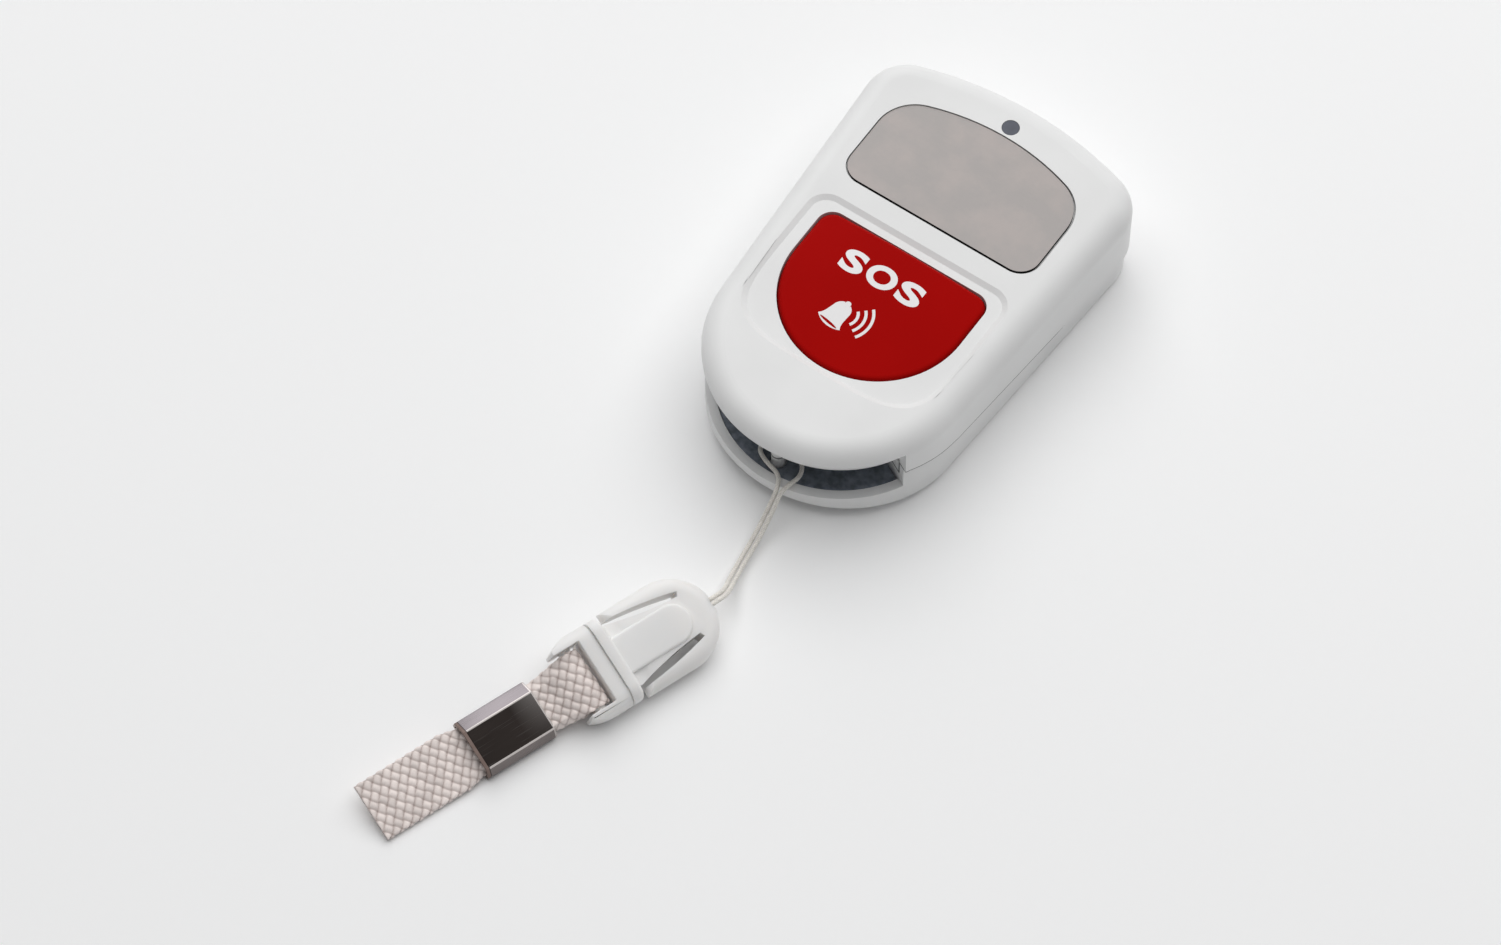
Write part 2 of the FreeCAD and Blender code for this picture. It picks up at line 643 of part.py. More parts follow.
def front_shell():
    body = new_body("top_shell")
    pad(body, "shell_block", outline(sketch_on(body, "shell_outline", s.seam), 0), s.height - s.seam)
    block = body.Tip
    bevel = body.newObject("PartDesign::Chamfer", "seam_bevel_cut")
    bevel.Base = (block, chosen_edges(block, at_height(s.seam)))
    bevel.ChamferType = "Two distances"
    bind(bevel, "Size", s.seam_step)
    bind(bevel, "Size2", s.seam_bevel)
    doc.recompute()
    round_off(body, "face_rounding", s.face_round, at_height(s.height))
    cavity = outline(sketch_on(body, "cavity_outline", s.seam), s.wall)
    cut_up(body, "cavity", cavity, ceiling - s.seam)
    round_off(body, "cavity_rounding", s.inner_round, at_height(ceiling))
    low = s.seam - s.wall
    below = draw(rise_sketch(body), rise_line + [(-past_end, low), (s.rise_start, low)])
    cut_up(body, "rise", below, s.half_width * 2)

    root_z = ceiling + s.face_wall / 5
    wall_angle = s.slot_half_angle + s.slot_wall_angle
    outer = s.end_radius - s.wall / 2
    walls = sector(sketch_on(body, "slot_walls_outline", s.slot_top), chamber_inner, outer, wall_angle)
    pad(body, "slot_walls", walls, root_z - s.slot_top)
    ends = sector(sketch_on(body, "slot_ends_outline", s.slot_seam), chamber_inner, rise_inner - s.joint_gap, wall_angle)
    pad(body, "slot_ends", ends, s.slot_top - s.slot_seam)
    chamber_outer = brow_radius - s.brow_wall
    chamber = sector(sketch_on(body, "chamber_outline", s.seam), bulkhead_outer, chamber_outer, s.slot_half_angle)
    cut_up(body, "chamber", chamber, ceiling - s.seam)
    seat = circle(sketch_on(body, "post_seat_outline", s.slot_top), 0, post_y, s.post_seat_radius)
    pad(body, "post_seat", seat, root_z - s.slot_top)

    beyond = s.end_radius + s.wall
    profile = sketch_on(body, "slot_profile", plane="YZ_Plane", shift=end_y)
    turn_z = s.height - s.brow_drop
    draw(profile, [
        (-beyond, s.seam - s.wall), (-chamber_inner, s.seam - s.wall), (-chamber_inner, s.slot_top),
        (-brow_radius, s.slot_top), (-s.end_radius + s.brow_turn_in, turn_z), (-beyond, turn_z),
    ])
    groove = body.newObject("PartDesign::Groove", "slot")
    groove.Profile = profile
    groove.ReferenceAxis = (profile, ["V_Axis"])
    bind(groove, "Angle", s.slot_half_angle * 2)
    groove.Midplane = True
    before = body.Shape.Volume
    doc.recompute()
    if body.Shape.Volume > before - 1:
        raise RuntimeError("the lanyard slot isn't cut")

    for number, (x, y) in enumerate(screw_places):
        lap_top = s.seam + s.lap_height + s.joint_gap
        boss = circle(sketch_on(body, f"boss_outline_{number}", lap_top), x, y, s.boss_radius)
        pad(body, f"boss_{number}", boss, root_z - lap_top)
    bores = sketch_on(body, "boss_bores_outline", s.seam)
    for x, y in screw_places:
        circle(bores, x, y, s.screw_radius + s.screw_gap)
    cut_up(body, "boss_bores", bores, s.screw_reach + s.screw_gap - s.seam)

    dish = dee(sketch_on(body, "dish_outline", s.height), s.button_half + s.dish_margin, s.dish_top, s.dish_centre, s.dish_corner)
    dish_cut = cut_down(body, "dish", dish, s.dish_depth)
    bind(dish_cut, "TaperAngle", -s.dish_slope)
    opening = sketch_on(body, "button_opening_outline", s.height)
    gap = s.button_gap
    dee(opening, s.button_half + gap, s.button_top + gap, s.button_centre, s.button_corner + gap)
    cut_down(body, "button_opening", opening, s.face_wall * 2)
    pocket = plate_shape(sketch_on(body, "plate_pocket_outline", s.height), s.plate_gap)
    cut_down(body, "plate_recess", pocket, s.plate_pocket)
    lamp = circle(sketch_on(body, "lamp_hole_outline", s.height), 0, lamp_y, s.lens_radius + s.lens_gap)
    cut_down(body, "lamp_hole", lamp, s.face_wall * 2)


# Back shell


def back_shell():
    body = new_body("bottom_shell")
    pad(body, "back_block", outline(sketch_on(body, "back_outline"), s.seam_step), s.seam)
    round_off(body, "back_rounding", s.back_round, at_height(0))
    ring = outline(sketch_on(body, "rise_outline", s.seam), s.seam_step)
    outline(ring, s.end_radius - rise_inner)
    pad(body, "rise_block", ring, s.rise_top - s.seam)
    high, far = s.rise_top + s.wall, s.top_apex + s.wall
    above = draw(rise_sketch(body), rise_line + [(-past_end, high), (far, high), (far, s.seam)])
    cut_up(body, "rise", above, s.half_width * 2)
    inner = s.seam_step + s.back_wall
    hollow = outline(sketch_on(body, "hollow_outline", s.seam), inner)
    cut_down(body, "hollow", hollow, s.seam - s.floor_wall)

    lap = sketch_on(body, "lap_outline", s.seam - s.lap_height)
    outline(lap, s.wall + s.joint_gap)
    outline(lap, s.wall + s.joint_gap + s.lap_wall)
    pad(body, "lap", lap, s.lap_height * 2)

    wall_angle = s.slot_half_angle + s.slot_wall_angle
    open_angle = wall_angle + s.slot_wall_angle / 4
    over = sector(sketch_on(body, "lap_gap_outline", s.seam), bulkhead_inner, rise_inner, open_angle)
    cut_up(body, "lap_gap", over, s.lap_height * 2)
    block = sector(sketch_on(body, "slot_block_outline", s.floor_wall), chamber_inner, lip_inner, wall_angle)
    pad(body, "slot_block", block, s.slot_seam - s.floor_wall)
    lip = sector(sketch_on(body, "lip_outline", s.lip_top), bulkhead_inner, s.end_radius + s.wall, s.slot_half_angle)
    cut_up(body, "lip_level", lip, s.seam)
    well = sector(sketch_on(body, "slot_well_outline", s.slot_floor), bulkhead_inner, lip_inner, s.slot_half_angle)
    cut_up(body, "slot_well", well, s.seam)

    heel = sketch_on(body, "heel_profile", plane="YZ_Plane", shift=end_y + s.heel_shift)
    reach = s.end_radius - s.seam_step + s.heel_shift
    turn_in, past = reach - s.heel_round, reach + s.wall
    heel_corners = [(-turn_in, 0), (-reach, s.heel_round), (-past, s.heel_round), (-past, -s.wall), (-turn_in, -s.wall)]
    draw(heel, heel_corners, {0: ((-turn_in, s.heel_round), s.heel_round, False)})
    heel_cut = body.newObject("PartDesign::Groove", "heel")
    heel_cut.Profile = heel
    heel_cut.ReferenceAxis = (heel, ["V_Axis"])
    heel_cut.Angle = 180
    heel_cut.Midplane = True
    doc.recompute()

    post = circle(sketch_on(body, "post_outline", s.slot_floor), 0, post_y, s.post_radius)
    pad(body, "post", post, s.slot_top - s.post_gap - s.slot_floor)
    tubes = sketch_on(body, "tubes_outline", s.floor_wall)
    for x, y in screw_places:
        circle(tubes, x, y, s.tube_radius)
    pad(body, "tubes", tubes, s.seam + s.lap_height - s.floor_wall)
    bores = sketch_on(body, "tube_bores_outline")
    seats = sketch_on(body, "head_seats_outline")
    for x, y in screw_places:
        circle(bores, x, y, s.screw_radius + s.screw_gap)
        circle(seats, x, y, s.head_radius + s.head_gap)
    cut_up(body, "tube_bores", bores, s.seam * 2)
    cut_up(body, "head_seats", seats, s.head_seat)


# Dark tray: floor of the slot, wall behind it, ring round the cell and pillars under the board


def tray():
    body = new_body("inner_tray")
    pad(body, "tray_block", outline(sketch_on(body, "tray_outline", s.floor_wall), tray_inset), s.tray_floor)
    wall_angle = s.slot_half_angle + s.slot_wall_angle
    clear_angle = wall_angle + s.slot_wall_angle / 2
    clear = sector(sketch_on(body, "tray_end_outline", s.floor_wall), bulkhead_outer, s.end_radius, clear_angle)
    cut_up(body, "tray_end", clear, s.tray_floor)
    half_angle = s.slot_half_angle + s.bulkhead_spread
    bulkhead = sector(sketch_on(body, "bulkhead_outline", s.floor_wall), bulkhead_inner, bulkhead_outer, half_angle)
    pad(body, "bulkhead", bulkhead, ceiling - s.tray_gap - s.floor_wall)
    floor_angle = s.slot_half_angle - s.bulkhead_spread / 4
    floor = sector(sketch_on(body, "slot_floor_outline", s.slot_floor), bulkhead_inner, lip_inner - s.tray_gap, floor_angle)
    pad(body, "slot_floor_plate", floor, s.tray_floor)

    ring_inner = s.cell_radius + s.cell_gap
    ring = sketch_on(body, "ring_outline", s.floor_wall)
    circle(ring, 0, s.cell_y, ring_inner)
    circle(ring, 0, s.cell_y, ring_inner + s.cell_ring_wall)
    pad(body, "cell_ring", ring, s.tray_floor + s.cell_ring_height)
    notch = sketch_on(body, "ring_notch_outline", tray_top)
    notch_half = s.contact_width / 2 + s.tray_gap
    rectangle(notch, -notch_half, s.cell_y - ring_inner - s.cell_ring_wall * 2, notch_half, s.cell_y)
    cut_up(body, "ring_notch", notch, s.cell_ring_height)

    pillars = sketch_on(body, "pillars_outline", s.floor_wall)
    pegs = sketch_on(body, "pegs_outline", s.floor_wall)
    for x, y in pillar_places:
        circle(pillars, x, y, s.pillar_radius)
        circle(pegs, x, y, s.peg_radius)
    pad(body, "pillars", pillars, s.board_z - s.floor_wall)
    pad(body, "pegs", pegs, board_top_z + s.peg_height - s.floor_wall)
    holes = sketch_on(body, "tray_holes_outline", s.floor_wall)
    for x, y in screw_places:
        circle(holes, x, y, s.tube_radius + s.tray_gap)
    cut_up(body, "tray_holes", holes, s.tray_floor)
    post = circle(sketch_on(body, "post_hole_outline", s.slot_floor), 0, post_y, s.post_radius + s.tray_gap)
    cut_up(body, "post_hole", post, s.tray_floor)


# Red button, metal plate, light guide


def button():
    body = new_body("alarm_button")
    top = s.height + s.button_proud
    edge = dee(sketch_on(body, "button_outline", flange_bottom), s.button_half, s.button_top, s.button_centre, s.button_corner)
    pad(body, "button_block", edge, top - flange_bottom)
    crown = sketch_on(body, "crown_profile", plane="XZ_Plane", lift=s.button_centre)
    reach = s.button_half * 2
    drop = root(s.button_crown * s.button_crown - reach * reach)
    crown_corners = [(0, top), (reach, top - s.button_crown + drop), (reach, top + s.wall), (0, top + s.wall)]
    draw(crown, crown_corners, {0: ((0, top - s.button_crown), s.button_crown, False)})
    groove = body.newObject("PartDesign::Groove", "crown")
    groove.Profile = crown
    groove.ReferenceAxis = (crown, ["V_Axis"])
    groove.Angle = 360
    doc.recompute()
    low = (s.height - s.button_edge).number
    round_off(body, "edge_rounding", s.button_edge, lambda edge: edge.BoundBox.ZMin > low - 0.5)
    out = s.flange_out
    flange = sketch_on(body, "flange_outline", flange_bottom)
    dee(flange, s.button_half + out, s.button_top + out, s.button_centre, s.button_corner + out)
    pad(body, "flange", flange, s.flange_height)
    skin = sketch_on(body, "button_hollow_outline", flange_bottom)
    dee(skin, s.button_half - s.button_wall, s.button_top - s.button_wall, s.button_centre, s.button_corner - s.button_wall)
    cut_up(body, "button_hollow", skin, s.height - s.button_skin - flange_bottom)
    presser = circle(sketch_on(body, "presser_outline", presser_bottom), 0, -s.switch_y, s.presser_radius)
    pad(body, "presser", presser, s.height - s.button_skin / 2 - presser_bottom)


def badge():
    body = new_body("badge_plate")
    bottom = s.height - s.plate_pocket + s.glue_thickness
    pad(body, "plate_sheet", plate_shape(sketch_on(body, "plate_outline", bottom), as_size(0.0)), s.plate_thickness)
    film = new_body("plate_adhesive")
    pad(film, "film", plate_shape(sketch_on(film, "film_outline", s.height - s.plate_pocket), -s.glue_inset), s.glue_thickness)


def turned(name, radius, height, x, y, z):
    """Round bar, standing."""
    bar = doc.addObject("Part::Cylinder", name)
    bind(bar, "Radius", radius)
    bind(bar, "Height", height)
    return place(bar, x, y, z)


def block(name, length, width, height, x, y, z):
    """Block whose middle stands at x, y, on z."""
    brick = doc.addObject("Part::Box", name)
    bind(brick, "Length", length)
    bind(brick, "Width", width)
    bind(brick, "Height", height)
    return place(brick, x - length / 2, y - width / 2, z)


def fused(name, *parts):
    whole = doc.addObject("Part::MultiFuse", name)
    whole.Shapes = list(parts)
    return keep(whole, name)


def minus(name, base, tool):
    rest = doc.addObject("Part::Cut", name)
    rest.Base = base
    rest.Tool = tool
    return rest


def light_guide():
    guide_bottom = ceiling - s.lens_flange_height
    guide = turned("guide_bar", s.lens_radius, s.height - s.lens_sunk - guide_bottom, 0, lamp_y, guide_bottom)
    flange = turned("guide_flange", s.lens_flange, s.lens_flange_height, 0, lamp_y, guide_bottom)
    fused("status_lens", guide, flange)
    dome_z = guide_bottom - s.led_gap - s.led_radius
    bulb = turned("led_bulb", s.led_radius, dome_z - board_top_z, 0, lamp_y, board_top_z)
    dome = doc.addObject("Part::Sphere", "led_dome")
    bind(dome, "Radius", s.led_radius)
    place(dome, 0, lamp_y, dome_z)
    rim = turned("led_foot", s.led_rim, s.led_rim_height, 0, lamp_y, board_top_z)
    fused("indicator_led", bulb, dome, rim)


# Circuit board and what it carries


def board():
    body = new_body("circuit_board")
    half, low, high = board_half, board_low, board_top
    big, small = s.board_low_corner, s.board_top_corner
    corners = [
        (big - half, low), (half - big, low), (half, low + big), (half, high - small),
        (half - small, high), (small - half, high), (-half, high - small), (-half, low + big),
    ]
    arcs = {
        1: ((half - big, low + big), big, True),
        3: ((half - small, high - small), small, True),
        5: ((small - half, high - small), small, True),
        7: ((big - half, low + big), big, True),
    }
    sketch = draw(sketch_on(body, "board_outline", s.board_z), corners, arcs)
    for x, y in pillar_places:
        circle(sketch, x, y, s.peg_radius + s.peg_gap)
    pad(body, "laminate", sketch, s.board_thickness)


def switch():
    side, y = s.switch_side, -s.switch_y
    hole_radius = s.plunger_radius + s.plunger_gap
    hole_z = cover_z - s.plunger_hidden - s.stroke - s.plunger_gap
    hole = turned("switch_hole", hole_radius, switch_top - hole_z, 0, y, hole_z)
    brick = block("switch_brick", side, side, cover_z - board_top_z, 0, y, board_top_z)
    keep(minus("tact_switch_body", brick, hole), "tact_switch_body")
    cover_hole = turned("switch_cover_hole", hole_radius, s.switch_cover, 0, y, cover_z)
    sheet_block = block("switch_cover_sheet", side, side, s.switch_cover, 0, y, cover_z)
    keep(minus("tact_switch_cover", sheet_block, cover_hole), "tact_switch_cover")
    plunger_z = cover_z - s.plunger_hidden
    keep(turned("tact_switch_plunger", s.plunger_radius, plunger_top - plunger_z, 0, y, plunger_z), "tact_switch_plunger")


def coin_cell():
    can_z = tray_top + s.contact_thickness + s.cell_cap_height
    can = turned("cell_can", s.cell_radius, s.cell_height - s.cell_cap_height, 0, s.cell_y, can_z)
    cap = turned("cell_cap", s.cell_cap_radius, s.cell_cap_height, 0, s.cell_y, tray_top + s.contact_thickness)
    fused("coin_cell", can, cap)

    thick, width = s.contact_thickness, s.contact_width
    cell_top = tray_top + s.contact_thickness + s.cell_height
    clip = new_body("cell_clip_upper")
    profile = sketch_on(clip, "clip_profile", plane="XZ_Plane", lift=-s.cell_y - width / 2)
    foot_x = s.clip_half - s.contact_foot
    draw(profile, [
        (-s.clip_half, s.board_z - thick), (-foot_x, s.board_z - thick), (-s.clip_flat, cell_top), (s.clip_flat, cell_top),
        (foot_x, s.board_z - thick), (s.clip_half, s.board_z - thick), (s.clip_half, s.board_z), (foot_x, s.board_z),
        (s.clip_flat, cell_top + thick), (-s.clip_flat, cell_top + thick), (-foot_x, s.board_z), (-s.clip_half, s.board_z),
    ])
    pad(clip, "clip_strip", profile, width)
    spring = new_body("cell_contact_lower")
    outside = s.cell_y - s.cell_radius - s.cell_gap - s.cell_ring_wall - s.contact_clear
    side = sketch_on(spring, "contact_profile", plane="YZ_Plane", lift=-width / 2)
    draw(side, [
        (outside - thick, tray_top), (s.cell_y - s.contact_reach, tray_top), (s.cell_y - s.contact_reach, tray_top + thick),
        (outside, tray_top + thick), (outside, s.board_z), (outside - thick, s.board_z),
    ])
    pad(spring, "contact_strip", side, width)


def board_parts():
    top = board_top_z
    radio_side = s.radio_side
    keep(block("radio_chip", radio_side, radio_side, s.radio_height, s.radio_x, s.radio_y, top), "radio_chip")
    crystal = (s.crystal_length, s.crystal_width, s.crystal_height)
    keep(block("crystal_can", *crystal, s.crystal_x, s.crystal_y, top), "crystal_can")
    coder = block("coder_block", s.coder_width, s.coder_length, s.coder_height, -s.coder_x, s.coder_y, top)
    legs = []
    leg_x = s.coder_width / 2 + s.leg_length / 2
    for row_number in range(4):
        leg_y = s.coder_y + s.leg_pitch * (row_number - 1.5)
        for side in (-1, 1):
            leg_name = f"coder_leg_{row_number}_{side + 1}"
            legs.append(block(leg_name, s.leg_length, s.leg_width, s.leg_height, leg_x * side - s.coder_x, leg_y, top))
    fused("code_chip", coder, *legs)
    for number in range(4):
        name = f"chip_capacitor_{number + 1}"
        chip_x = s.chip_pitch * number - s.chip_x
        keep(block(name, s.chip_width, s.chip_length, s.chip_height, chip_x, s.chip_y, top), name)


def rounded_wire(points, radii):
    """Straight runs joined by tangent arcs, one radius for each inner point."""
    edges = []
    last = points[0]
    for before, corner, after, radius in zip(points, points[1:], points[2:], radii):
        into, out = (corner - before).normalize(), (after - corner).normalize()
        turn = into.getAngle(out)
        back = radius * math.tan(turn / 2)
        start, finish = corner - into * back, corner + out * back
        inward = (out - into).normalize()
        middle = corner + inward * (radius / math.cos(turn / 2) - radius)
        if (start - last).Length > 1e-4:
            edges.append(Part.LineSegment(last, start).toShape())
        edges.append(Part.Arc(start, middle, finish).toShape())
        last = finish
    if (points[-1] - last).Length > 1e-4:
        edges.append(Part.LineSegment(last, points[-1]).toShape())
    return Part.Wire(edges)


def soft_radii(points, share=0.45):
    """The largest radius that each inner point's two runs allow."""
    found = []
    for before, corner, after in zip(points, points[1:], points[2:]):
        into, out = corner - before, after - corner
        found.append(share * min(into.Length, out.Length) / math.tan(into.getAngle(out) / 2))
    return found


def tube(name, points, radii, radius):
    """Round wire or cord along points, as one solid."""
    path = rounded_wire(points, radii)
    start = points[0]
    ring = Part.Wire([Part.Circle(start, points[1] - start, radius).toShape()])
    solid = path.makePipeShell([ring], True, True)
    expected = math.pi * radius * radius * path.Length
    if abs(solid.Volume / expected - 1) > 0.01:
        raise RuntimeError(f"{name}: the tube's volume isn't its section times its length")
    feature = doc.addObject("Part::Feature", name)
    feature.Shape = solid
    feature.Placement = FreeCAD.Placement()
    return keep(feature, name), path


def aerial():
    top = board_top_z.number
    half, y, z = s.aerial_half.number, s.aerial_y.number, s.aerial_z.number
    bow = y + s.aerial_depth.number
    points = [Vector(*p) for p in (
        (-half, y, top), (-half, y, z), (-half / 2, bow, z), (half / 2, bow, z), (half, y, z), (half, y, top),
    )]
    tube("aerial_wire", points, soft_radii(points), s.aerial_radius.number)


def cord():
    points = [Vector(*point) for point in CORD_ROUTE]
    radii = soft_radii(points)
    _, path = tube("lanyard_cord", points, radii, s.cord_radius.number)
    print("cord length", round(path.Length, 2), "radii", [round(radius, 2) for radius in radii])


# Screws


def cross_screw(x, y):
    """One screw, head down, with a cross recess."""
    head_z, seat_z = s.head_sunk.number, s.head_seat.number
    head = Part.makeCylinder(s.head_radius.number, seat_z - head_z, Vector(0, 0, head_z))
    shank = Part.makeCylinder(s.screw_radius.number, s.screw_reach.number - seat_z, Vector(0, 0, seat_z))
    long, wide, deep = s.cross_long.number, s.cross_wide.number, s.cross_deep.number
    solid = head.fuse(shank)
    for length, width in ((long, wide), (wide, long)):
        corner = Vector(-length / 2, -width / 2, head_z - deep)
        solid = solid.cut(Part.makeBox(length, width, deep * 2, corner))
    solid.translate(Vector(x.number, y.number, 0))
    return solid


def screws():
    feature = doc.addObject("Part::Feature", "housing_screws")
    feature.Shape = Part.makeCompound([cross_screw(x, as_size(y)) for x, y in screw_places])
    feature.Placement = FreeCAD.Placement()
    keep(feature, "housing_screws")


# Snap connector, drawn with its nose at its own origin and its length along -Y


def on_strap(piece):
    """Puts a piece of the strap where it lies, leaning on its right side."""
    base = "; ".join(size.text for size in (s.snap_x, -s.snap_y, s.snap_lift))
    turn = "; ".join(size.text for size in (-s.snap_angle, s.snap_lean))
    piece.setExpression("Placement", f"placement(vector({base}); rotation({turn}; 0))")
    return piece


def bullet(sketch, half, end):
    """Round nose of radius half at the origin, and straight sides to end."""
    corners = [(-half, -end), (half, -end), (half, -half), (-half, -half)]
    return draw(sketch, corners, {2: ((0, -half), half, True)})


def rounded(sketch, half, low, high, corner):
    """Rounded rectangle, half its width to each side, from low to high."""
    inner, bottom, top = half - corner, low + corner, high - corner
    corners = [
        (-inner, low), (inner, low), (half, bottom), (half, top), (inner, high), (-inner, high), (-half, top), (-half, bottom),
    ]
    centres = {1: (inner, bottom), 3: (inner, top), 5: (-inner, top), 7: (-inner, bottom)}
    return draw(sketch, corners, {side: (centre, corner, True) for side, centre in centres.items()})


def bowed(start, finish, radius, anticlockwise):
    """Arc of this radius from start to finish, as draw takes it."""
    first, last = spot(*start), spot(*finish)
    way = last - first
    reach = math.sqrt(radius.number ** 2 - (way.Length / 2) ** 2) * (1 if anticlockwise else -1)
    centre = (first + last) / 2 + Vector(-way.y, way.x, 0).normalize() * reach
    return (centre.x, centre.y), radius, anticlockwise


def rim(level, half, low, high):
    """Test for the edges of a rounded rectangle that lie in the plane level mm behind the nose."""
    place, wide, bottom, top = -level.number, half.number, low.number, high.number

    def wanted(edge):
        box = edge.BoundBox
        flat = abs(box.YMin - place) < 1e-3 and abs(box.YMax - place) < 1e-3
        outer = max(abs(box.XMin), abs(box.XMax)) > wide - 1e-3 or box.ZMax > top - 1e-3 or box.ZMin < bottom + 1e-3
        return flat and outer

    return wanted


def snap_socket():
    body = new_body("buckle_socket")
    pad(body, "arms_block", bullet(sketch_on(body, "arms_outline", s.snap_bottom), s.snap_half, s.arm_end), s.snap_arm_height)
    top = s.snap_bottom + s.snap_arm_height
    round_off(body, "arms_rounding", s.snap_arm_round, any_of(at_height(s.snap_bottom), at_height(top)))
    neck = sketch_on(body, "neck_outline", s.neck_bottom)
    rectangle(neck, -s.neck_half, -s.collar_start - s.collar_round, s.neck_half, -s.neck_start)
    pad(body, "neck_block", neck, s.neck_top - s.neck_bottom)
    for number, side in enumerate((-1, 1)):
        sketch = sketch_on(body, f"side_gap_outline_{number}", 0)
        far, near = (s.gap_outer * side, -s.gap_end), (s.gap_inner * side, -s.gap_end)
        outer_tip, tip = ((s.gap_tip + s.gap_width) * side, -s.gap_start), (s.gap_tip * side, -s.gap_start - s.gap_width / 2)
        turn = side > 0
        bows = {0: bowed(far, outer_tip, s.gap_outer_bow, turn), 2: bowed(tip, near, s.gap_inner_bow, turn)}
        draw(sketch, [far, outer_tip, tip, near], bows)
        cut_up(body, f"side_gap_{number}", sketch, s.collar_height)
    core = sketch_on(body, "core_outline", s.neck_bottom)
    half, start, end = s.core_half, s.core_start, s.collar_start + s.collar_round
    draw(core, [(-half, -end), (half, -end), (half, -start - half), (-half, -start - half)], {2: ((0, -start - half), half, True)})
    pad(body, "core_block", core, s.core_height - s.neck_bottom)
    round_off(body, "core_rounding", s.core_round, at_height(s.core_height))
    collar = sketch_on(body, "collar_outline", plane="XZ_Plane", lift=s.collar_start)
    rounded(collar, s.collar_half, s.collar_bottom, s.collar_height, s.collar_corner)
    pad(body, "collar_block", collar, s.collar_end - s.collar_start)
    collar_rim = rim(s.collar_start, s.collar_half, s.collar_bottom, s.collar_height)
    round_off(body, "collar_rounding", s.collar_round, collar_rim)
    socket = sketch_on(body, "socket_outline", plane="XZ_Plane", lift=s.collar_end)
    half, thick = s.tongue_half + s.tongue_gap, s.tongue_thick / 2 + s.tongue_gap
    rectangle(socket, -half, s.eye_z - thick, half, s.eye_z + thick)
    cut_up(body, "socket", socket, s.tongue_length + s.tongue_gap, Reversed=False)
    eye = circle(sketch_on(body, "eye_outline", plane="XZ_Plane"), 0, s.eye_z, s.eye_radius)
    cut_up(body, "eye", eye, s.eye_depth)
    on_strap(body)


def snap_tongue():
    body = new_body("buckle_tongue")
    frame = sketch_on(body, "frame_profile", plane="XZ_Plane", lift=s.collar_end)
    rounded(frame, s.frame_half, s.frame_bottom, s.frame_height, s.frame_corner)
    pad(body, "frame_block", frame, s.frame_end - s.collar_end)
    frame_rim = rim(s.collar_end, s.frame_half, s.frame_bottom, s.frame_height)
    round_off(body, "frame_rounding", s.frame_round, frame_rim)
    past = s.frame_end + s.pin_hold
    opening = rectangle(sketch_on(body, "opening_outline"), -s.frame_slot_half, -past, s.frame_slot_half, -s.bar_end)
    cut_up(body, "opening", opening, s.frame_height)
    narrow, depth = s.frame_half - s.ear_tip_half, s.frame_end - s.ear_turn
    bow = (narrow * narrow + depth * depth) / (narrow * 2)
    wide = s.frame_half + s.pin_hold
    for number, side in enumerate((-1, 1)):
        sketch = sketch_on(body, f"ear_outline_{number}")
        corners = [
            (s.frame_half * side, -s.ear_turn), (s.ear_tip_half * side, -s.frame_end), (s.ear_tip_half * side, -past),
            (wide * side, -past), (wide * side, -s.ear_turn),
        ]
        draw(sketch, corners, {0: (((s.frame_half - bow) * side, -s.ear_turn), bow, side < 0)})
        cut_up(body, f"ear_cut_{number}", sketch, s.frame_height)
    pin = sketch_on(body, "pin_outline", -s.frame_slot_half - s.pin_hold, plane="YZ_Plane")
    circle(pin, -pin_place, s.pin_z, s.pin_radius)
    pad(body, "pin", pin, s.frame_slot_half * 2 + s.pin_hold * 2)
    tongue = sketch_on(body, "tongue_outline", s.eye_z - s.tongue_thick / 2)
    tip, wide = s.tongue_length - s.collar_end, s.tongue_half
    draw(tongue, [
        (-wide, -s.collar_end - s.collar_round), (wide, -s.collar_end - s.collar_round), (wide, tip - s.tongue_tip),
        (wide - s.tongue_tip, tip), (s.tongue_tip - wide, tip), (-wide, tip - s.tongue_tip),
    ])
    pad(body, "tongue", tongue, s.tongue_thick)
    on_strap(body)


# Strap, folded round its bar, and the crimp that holds the fold


def strap():
    thick = s.strap_thick.number
    first_z = s.crimp_wall.number + thick / 2
    second_z = first_z + thick + s.layer_gap.number
    wrap = s.pin_radius.number + s.strap_wrap_gap.number + thick / 2
    pin_y, pin_z = -pin_place.number, s.pin_z.number
    back_y = pin_y - s.strap_fold.number
    front_y = pin_y + wrap
    crimp_in, crimp_out = -s.crimp_start.number, -s.crimp_start.number - s.crimp_length.number
    soft = s.fold_soft.number
    table_z = s.strap_lift.number + thick / 2
    route = [
        (crimp_out + s.tail_inside.number, second_z, None),
        (crimp_in, second_z, soft),
        (back_y, pin_z + wrap, soft),
        (front_y, pin_z + wrap, wrap),
        (front_y, pin_z - wrap, wrap),
        (back_y, pin_z - wrap, soft),
        (crimp_in, first_z, soft),
        (crimp_out, first_z, soft),
        (crimp_out - s.crimp_half.number, table_z, soft),
        (-s.strap_end.number, table_z, None),
    ]
    half = s.strap_half.number
    points = [Vector(-half, y, z) for y, z, _ in route]
    radii = [radius for _, _, radius in route[1:-1]]
    feature = doc.addObject("Part::Feature", "strap")
    band = band_face(points, radii, thick).extrude(Vector(half * 2, 0, 0))
    feature.Shape = band.cut(beside_crimp(half, crimp_in, crimp_out))
    keep(feature, "strap")
    on_strap(feature)


